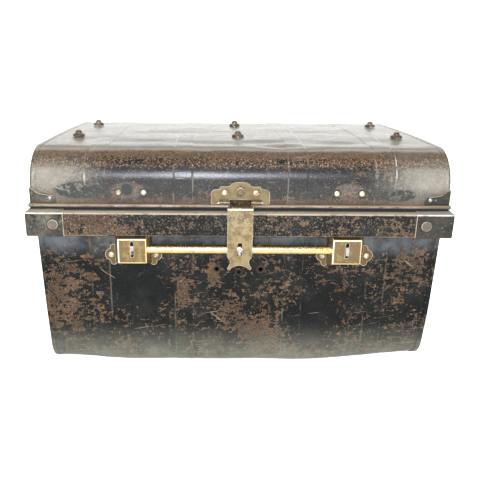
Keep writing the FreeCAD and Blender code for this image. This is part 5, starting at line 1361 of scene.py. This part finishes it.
def studs(shape):
    """Six wear studs on the lid: a domed brim round a rounded crown.

    Both fall as quarter ellipses, width over sin and height over cos; the crown's sin is raised to 3/4,
    which broadens its top."""
    t = np.linspace(0, 1, 9)
    across, down = np.sin(t * math.pi / 2), np.cos(t * math.pi / 2)
    crown = np.column_stack([0.0052 * across ** 0.75, 0.0046 + 0.0049 * down])
    brim = np.column_stack([0.0054 + 0.0042 * across, 0.0010 + 0.0034 * down])
    foot = [(0.0095, 0.0001), (0.002, 0.0001), (0.002, -0.002), (0, -0.002)]
    _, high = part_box("lid_studs")
    places = [((x, y, high.z - crown[0, 1]), (0, y / shape.crown, 1)) for x, y in STUDS]
    turned("wear_studs", np.vstack([crown, brim, foot]), places, "lid", "rusty_iron", "stud", "lid_studs",
           segments=40)


# ---------------------------------------------------------------- brass and iron work
def softened(node, name, material, shape):
    """A copy of a cast or cut piece with its edges softened."""
    source = frame["nodes"][node]
    body = source["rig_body"]
    mesh = source.data.copy()
    work = bmesh.new()
    work.from_mesh(mesh)
    bmesh.ops.remove_doubles(work, verts=work.verts, dist=1e-6)
    bmesh.ops.dissolve_limit(work, angle_limit=math.radians(1.0), verts=work.verts, edges=work.edges)
    work.to_mesh(mesh)
    work.free()
    mesh.materials.clear()
    obj = shaded(name, mesh, (material,), SHARP)
    bevel = obj.modifiers.new("softening", "BEVEL")
    bevel.width = shape.softening
    bevel.segments = 2
    bevel.limit_method = "ANGLE"
    bevel.angle_limit = math.radians(32)
    bevel.use_clamp_overlap = True
    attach(obj, body)
    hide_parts(node)


def hardware(shape):
    """Brass and iron work with the edges softened; two cores only take their materials."""
    for node, name, material in (("hasp_plate", "hasp_bracket", "plate"),
                                 ("hasp_strap", "hasp_tongue", "strap"),
                                 ("lock_box_left", "lock_case_left", "case"),
                                 ("lock_box_right", "lock_case_right", "case"),
                                 ("lock_bar_lugs", "bar_tabs", "steel")):
        softened(node, name, material, shape)
    for side in SIDES:
        softened(f"hinge_body_leaf_{side}", f"rear_leaf_body_{side}", "iron", shape)
        softened(f"hinge_lid_leaf_{side}", f"rear_leaf_lid_{side}", "iron", shape)
        softened(f"handle_eyes_{side}", f"handle_straps_{side}", "iron", shape)
        softened(f"hinge_pin_{side}", f"rear_pin_{side}", "steel", shape)
    softened("hasp_pin", "hasp_rod", "steel", shape)
    for node, material in (("lid_edge_wire", "steel"), ("lock_bar_core", "iron")):
        slots = frame["nodes"][node].data.materials
        slots.clear()
        slots.append(MATERIALS[material])


def boss():
    """Domed button with a turned ring in the middle of the hasp bracket."""
    low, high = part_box("hasp_boss")
    centre = (low + high) / 2
    t = np.linspace(0, 1, 8)
    crown = np.column_stack([0.0050 * np.sin(t * math.pi / 2), 0.0012 + 0.0014 * np.cos(t * math.pi / 2)])
    bead = [(0.0056, 0.0009), (0.0060, 0.0015), (0.0067, 0.0019), (0.0074, 0.0016), (0.0080, 0.0007),
            (0.0082, 0.0), (0.002, 0.0), (0.002, -0.002), (0, -0.002)]
    turned("hasp_button", np.vstack([crown, bead]), [((centre.x, low.y + 0.0026, centre.z), (0, -1, 0))],
           "lid", "old_brass", "plate", "hasp_boss", segments=48)


def tube(name, line, radius, body, material, node, segments, swell):
    """A round bar along a 3D polyline with flat closed ends; swell multiplies its radius, point by point.

    The circles stand square to the line: one axis is the cross product of its direction and x, or z where
    the line runs along x, and the other is square to both."""
    line = np.asarray(line, float)
    step = np.gradient(line, axis=0)
    step /= np.linalg.norm(step, axis=1)[:, None]
    normal = np.cross(step, (1.0, 0.0, 0.0))
    weak = np.linalg.norm(normal, axis=1) < 1e-6
    normal[weak] = (0, 0, 1)
    normal /= np.linalg.norm(normal, axis=1)[:, None]
    side = np.cross(step, normal)
    turn = np.linspace(0, 2 * math.pi, segments, endpoint=False)
    circle = normal[:, None] * np.cos(turn)[None, :, None] + side[:, None] * np.sin(turn)[None, :, None]
    points = line[:, None] + circle * (radius * swell)[:, None, None]
    ends = np.concatenate([line[:1], line[-1:]])
    count = len(line) * segments
    faces = grid_faces(len(line), segments, closed_columns=True)
    faces += [[count, (j + 1) % segments, j] for j in range(segments)]
    last = count - segments
    faces += [[count + 1, last + j, last + (j + 1) % segments] for j in range(segments)]
    piece(name, np.concatenate([points.reshape(-1, 3), ends]), faces, body, (material,), node,
          sharp=math.radians(40))


def lock_bar():
    """Brass tube between the lock cases, slightly uneven along its length."""
    low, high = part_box("lock_bar_tube")
    centre = (low + high) / 2
    x = np.linspace(low.x, high.x, 90)
    radius = (high.z - low.z) / 2
    line = np.column_stack([x, centre.y + 0 * x, centre.z + 0 * x])
    swell = 1 - 0.012 * (1 + ripple(x, x, 61, 0.06)) * 0.5
    tube("bar_sleeve", line, radius, "lock_bar", "bar", "lock_bar_tube", 48, swell)


def bails():
    """Drop handles of thick wire at both ends: a short tail in each eye, legs drawn in to a level grip."""
    for side in SIDES:
        low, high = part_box(f"handle_bail_{side}")
        x = (low.x + high.x) / 2
        radius = (high.x - low.x) / 2
        top, bottom = high.z - radius, low.z + radius
        leg = high.y - radius
        half = [(x, 0.043, top), (x, leg, top), (x, leg - 0.006, bottom)]
        corners = [(a, -b, c) for a, b, c in half] + half[::-1]
        line = refined(rounded(corners, [0.0044, 0.016, 0.016, 0.0044], 8), 0.004)
        swell = 1 - 0.02 * np.abs(ripple(line[:, 1], line[:, 2], 71, 0.03))
        tube(f"drop_handle_{side}", line, radius, f"bail_{side}", "iron",
             f"handle_bail_{side}", 24, swell)


# ---------------------------------------------------------------- stage
def lamp(name, place, target, power, size, colour=(1, 1, 1)):
    """A rectangular lamp of some watts that faces a target."""
    data = bpy.data.lights.new(name, "AREA")
    data.energy, data.color = power, colour
    data.shape, data.size, data.size_y = "RECTANGLE", size[0], size[1]
    obj = placed(name, data)
    obj.location = place
    obj.rotation_euler = (Vector(target) - Vector(place)).to_track_quat("-Z", "Y").to_euler()


def studio(settings):
    """Pale floor, white surroundings, soft lamps and the camera."""
    mesh = bpy.data.meshes.new("studio_floor")
    mesh.from_pydata([(-30, -30, 0), (30, -30, 0), (30, 30, 0), (-30, 30, 0)], [], [(0, 1, 2, 3)])
    floor = placed("studio_floor", mesh)
    g = Graph("floor_paper")
    g.set(Base_Color=tuple(settings.floor), Roughness=0.9, Emission_Color=tuple(settings.sky),
          Emission_Strength=settings.glow)
    mesh.materials.append(g.material)
    world = bpy.data.worlds.new("studio")
    world.use_nodes = True
    bpy.context.scene.world = world
    sky = Tree(world.node_tree)
    _, y, z = sky.parts(sky.node("ShaderNodeTexCoord", {}, out="Generated"))
    # Reflections see white low down all round and high up behind, and dark overhead and in front; seen
    # by the camera the surroundings are white throughout.
    dark, white = 0.20, 0.85
    behind = y.ramp(-0.15, 0.45) * z.ramp(0.80, 0.10) * 1.55
    low = z.ramp(0.19, 0.11) * white
    seen = sky.node("ShaderNodeLightPath", {}, out="Is Camera Ray") * white
    background = sky.tree.nodes["Background"].inputs
    sky.feed(background["Color"], settings.sky)
    sky.feed(background["Strength"], dark + behind.at_least(low).at_least(seen))
    lamp("left_box", (-1.35, -1.75, 1.25), (0, -0.1, 0.25), 16.5, (1.1, 1.2), (1.0, 0.98, 0.94))
    lamp("right_box", (1.55, -1.65, 1.25), (0, -0.1, 0.25), 14.5, (1.1, 1.2), (1.0, 0.98, 0.95))
    lamp("window", (-0.12, -2.2, 1.0), (-0.1, -0.1, 0.30), 36, (0.32, 0.62), (0.84, 0.90, 1.0))
    lamp("strip", (-0.08, -2.2, 0.96), (-0.05, -0.1, 0.30), 22, (1.15, 0.30), (0.84, 0.90, 1.0))
    lamp("upper_strip", (-0.05, -1.25, 1.75), (0, -0.2, 0.22), 5, (1.4, 0.30))
    lamp("top", (0.0, 1.0, 2.6), (0, 0.4, 0.0), 60, (3.0, 2.0))
    camera_data = bpy.data.cameras.new("camera")
    camera_data.lens = settings.focal
    camera_data.sensor_width = 36
    camera_data.shift_x = 0.0473
    camera_data.clip_start = 0.01
    camera = placed("camera", camera_data)
    yaw, pitch, roll = settings.yaw, settings.pitch, settings.roll
    right = Vector((math.cos(yaw), math.sin(yaw), 0))
    ahead = Vector((-math.sin(yaw) * math.cos(pitch), math.cos(yaw) * math.cos(pitch), -math.sin(pitch)))
    up = right.cross(ahead)
    right, up = (right * math.cos(roll) + up * math.sin(roll), up * math.cos(roll) - right * math.sin(roll))
    turn = Matrix((right, up, -ahead)).transposed()
    camera.matrix_world = Matrix.Translation(Vector(settings.eye)) @ turn.to_4x4()
    bpy.context.scene.camera = camera
    bpy.context.scene.view_settings.view_transform = "Standard"


# ---------------------------------------------------------------- operators
class TRUNK_OT_finishes(bpy.types.Operator):
    """Makes the worn finishes: varnish, tinplate, brass, iron and steel"""
    bl_idname = "trunk.finishes"
    bl_label = "Make Finishes"

    def execute(self, context):
        make_materials(context.scene.trunk_finish)
        return {"FINISHED"}


class TRUNK_OT_body_sheet(bpy.types.Operator):
    """Front, bottom and back of the body: one wrapped sheet with four rolled bands"""
    bl_idname = "trunk.body_sheet"
    bl_label = "Body Sheet"

    def execute(self, context):
        body_shell(context.scene.trunk_shape)
        return {"FINISHED"}


class TRUNK_OT_body_ends(bpy.types.Operator):
    """Both leaning end pans of the body, folded over the wrapped sheet"""
    bl_idname = "trunk.body_ends"
    bl_label = "Body Ends"

    def execute(self, context):
        body_ends(context.scene.trunk_shape)
        return {"FINISHED"}


class TRUNK_OT_rim(bpy.types.Operator):
    """Folded rim round the body below the seam"""
    bl_idname = "trunk.rim"
    bl_label = "Rim"

    def execute(self, context):
        rim(context.scene.trunk_shape)
        return {"FINISHED"}


class TRUNK_OT_rim_corners(bpy.types.Operator):
    """Four sheet caps over the rim's corners"""
    bl_idname = "trunk.rim_corners"
    bl_label = "Rim Corners"

    def execute(self, context):
        rim_caps(context.scene.trunk_shape)
        return {"FINISHED"}


class TRUNK_OT_lid_sheet(bpy.types.Operator):
    """Front, top and back of the lid: one dented sheet with four rolled bands"""
    bl_idname = "trunk.lid_sheet"
    bl_label = "Lid Sheet"

    def execute(self, context):
        lid_shell(context.scene.trunk_shape)
        return {"FINISHED"}


class TRUNK_OT_lid_ends(bpy.types.Operator):
    """Both end pans of the lid, folded over its sheet"""
    bl_idname = "trunk.lid_ends"
    bl_label = "Lid Ends"

    def execute(self, context):
        lid_ends(context.scene.trunk_shape)
        return {"FINISHED"}


class TRUNK_OT_lid_bead(bpy.types.Operator):
    """Wired edge round the mouth of the lid"""
    bl_idname = "trunk.lid_bead"
    bl_label = "Lid Bead"

    def execute(self, context):
        rolled_edge(context.scene.trunk_shape)
        return {"FINISHED"}


class TRUNK_OT_lid_angles(bpy.types.Operator):
    """Four angle patches on the lid's lower corners"""
    bl_idname = "trunk.lid_angles"
    bl_label = "Lid Angles"

    def execute(self, context):
        lid_corners()
        return {"FINISHED"}


class TRUNK_OT_rivets(bpy.types.Operator):
    """All rivet heads: caps, patches, brass work, hinges and handles"""
    bl_idname = "trunk.rivets"
    bl_label = "Rivets"

    def execute(self, context):
        rivets()
        return {"FINISHED"}


class TRUNK_OT_studs(bpy.types.Operator):
    """Six wear studs on top of the lid"""
    bl_idname = "trunk.studs"
    bl_label = "Studs"

    def execute(self, context):
        studs(context.scene.trunk_shape)
        return {"FINISHED"}


class TRUNK_OT_hardware(bpy.types.Operator):
    """Hasp, lock cases, lugs, hinges, pins and handle straps"""
    bl_idname = "trunk.hardware"
    bl_label = "Hardware"

    def execute(self, context):
        hardware(context.scene.trunk_shape)
        return {"FINISHED"}


class TRUNK_OT_button(bpy.types.Operator):
    """Turned button in the middle of the hasp bracket"""
    bl_idname = "trunk.button"
    bl_label = "Button"

    def execute(self, context):
        boss()
        return {"FINISHED"}


class TRUNK_OT_lock_bar(bpy.types.Operator):
    """Brass tube between the lock cases"""
    bl_idname = "trunk.lock_bar"
    bl_label = "Lock Bar"

    def execute(self, context):
        lock_bar()
        return {"FINISHED"}


class TRUNK_OT_bails(bpy.types.Operator):
    """Drop handles of thick wire at both ends"""
    bl_idname = "trunk.bails"
    bl_label = "Handles"

    def execute(self, context):
        bails()
        return {"FINISHED"}


class TRUNK_OT_studio(bpy.types.Operator):
    """Floor, surroundings, lamps and camera"""
    bl_idname = "trunk.studio"
    bl_label = "Studio"

    def execute(self, context):
        studio(context.scene.trunk_stage)
        return {"FINISHED"}


OPERATORS = [
    TRUNK_OT_finishes, TRUNK_OT_body_sheet, TRUNK_OT_body_ends, TRUNK_OT_rim, TRUNK_OT_rim_corners,
    TRUNK_OT_lid_sheet, TRUNK_OT_lid_ends, TRUNK_OT_lid_bead, TRUNK_OT_lid_angles, TRUNK_OT_rivets,
    TRUNK_OT_studs, TRUNK_OT_hardware, TRUNK_OT_button, TRUNK_OT_lock_bar, TRUNK_OT_bails, TRUNK_OT_studio,
]


class TRUNK_PT_panel(bpy.types.Panel):
    """Sidebar panel of the trunk's sizes, finishes and pieces"""
    bl_label = "Tin Trunk"
    bl_idname = "TRUNK_PT_panel"
    bl_space_type = "VIEW_3D"
    bl_region_type = "UI"
    bl_category = "Tin Trunk"

    def draw(self, context):
        for group in ("trunk_shape", "trunk_finish", "trunk_stage"):
            settings = getattr(context.scene, group)
            box = self.layout.box()
            for name in settings.__annotations__:
                box.prop(settings, name)
        for entry in OPERATORS:
            self.layout.operator(entry.bl_idname)


CLASSES = [TrunkShape, TrunkFinish, TrunkStage, TRUNK_PT_panel] + OPERATORS


def register():
    """Registers the classes and their settings."""
    for entry in CLASSES:
        bpy.utils.register_class(entry)
    bpy.types.Scene.trunk_shape = PointerProperty(type=TrunkShape)
    bpy.types.Scene.trunk_finish = PointerProperty(type=TrunkFinish)
    bpy.types.Scene.trunk_stage = PointerProperty(type=TrunkStage)


def unregister():
    """Takes them off again."""
    del bpy.types.Scene.trunk_shape
    del bpy.types.Scene.trunk_finish
    del bpy.types.Scene.trunk_stage
    for entry in reversed(CLASSES):
        bpy.utils.unregister_class(entry)


def main():
    """Runs the operators in order."""
    register()
    for entry in OPERATORS:
        group, name = entry.bl_idname.split(".")
        getattr(getattr(bpy.ops, group), name)()


if __name__ == "__main__":
    main()
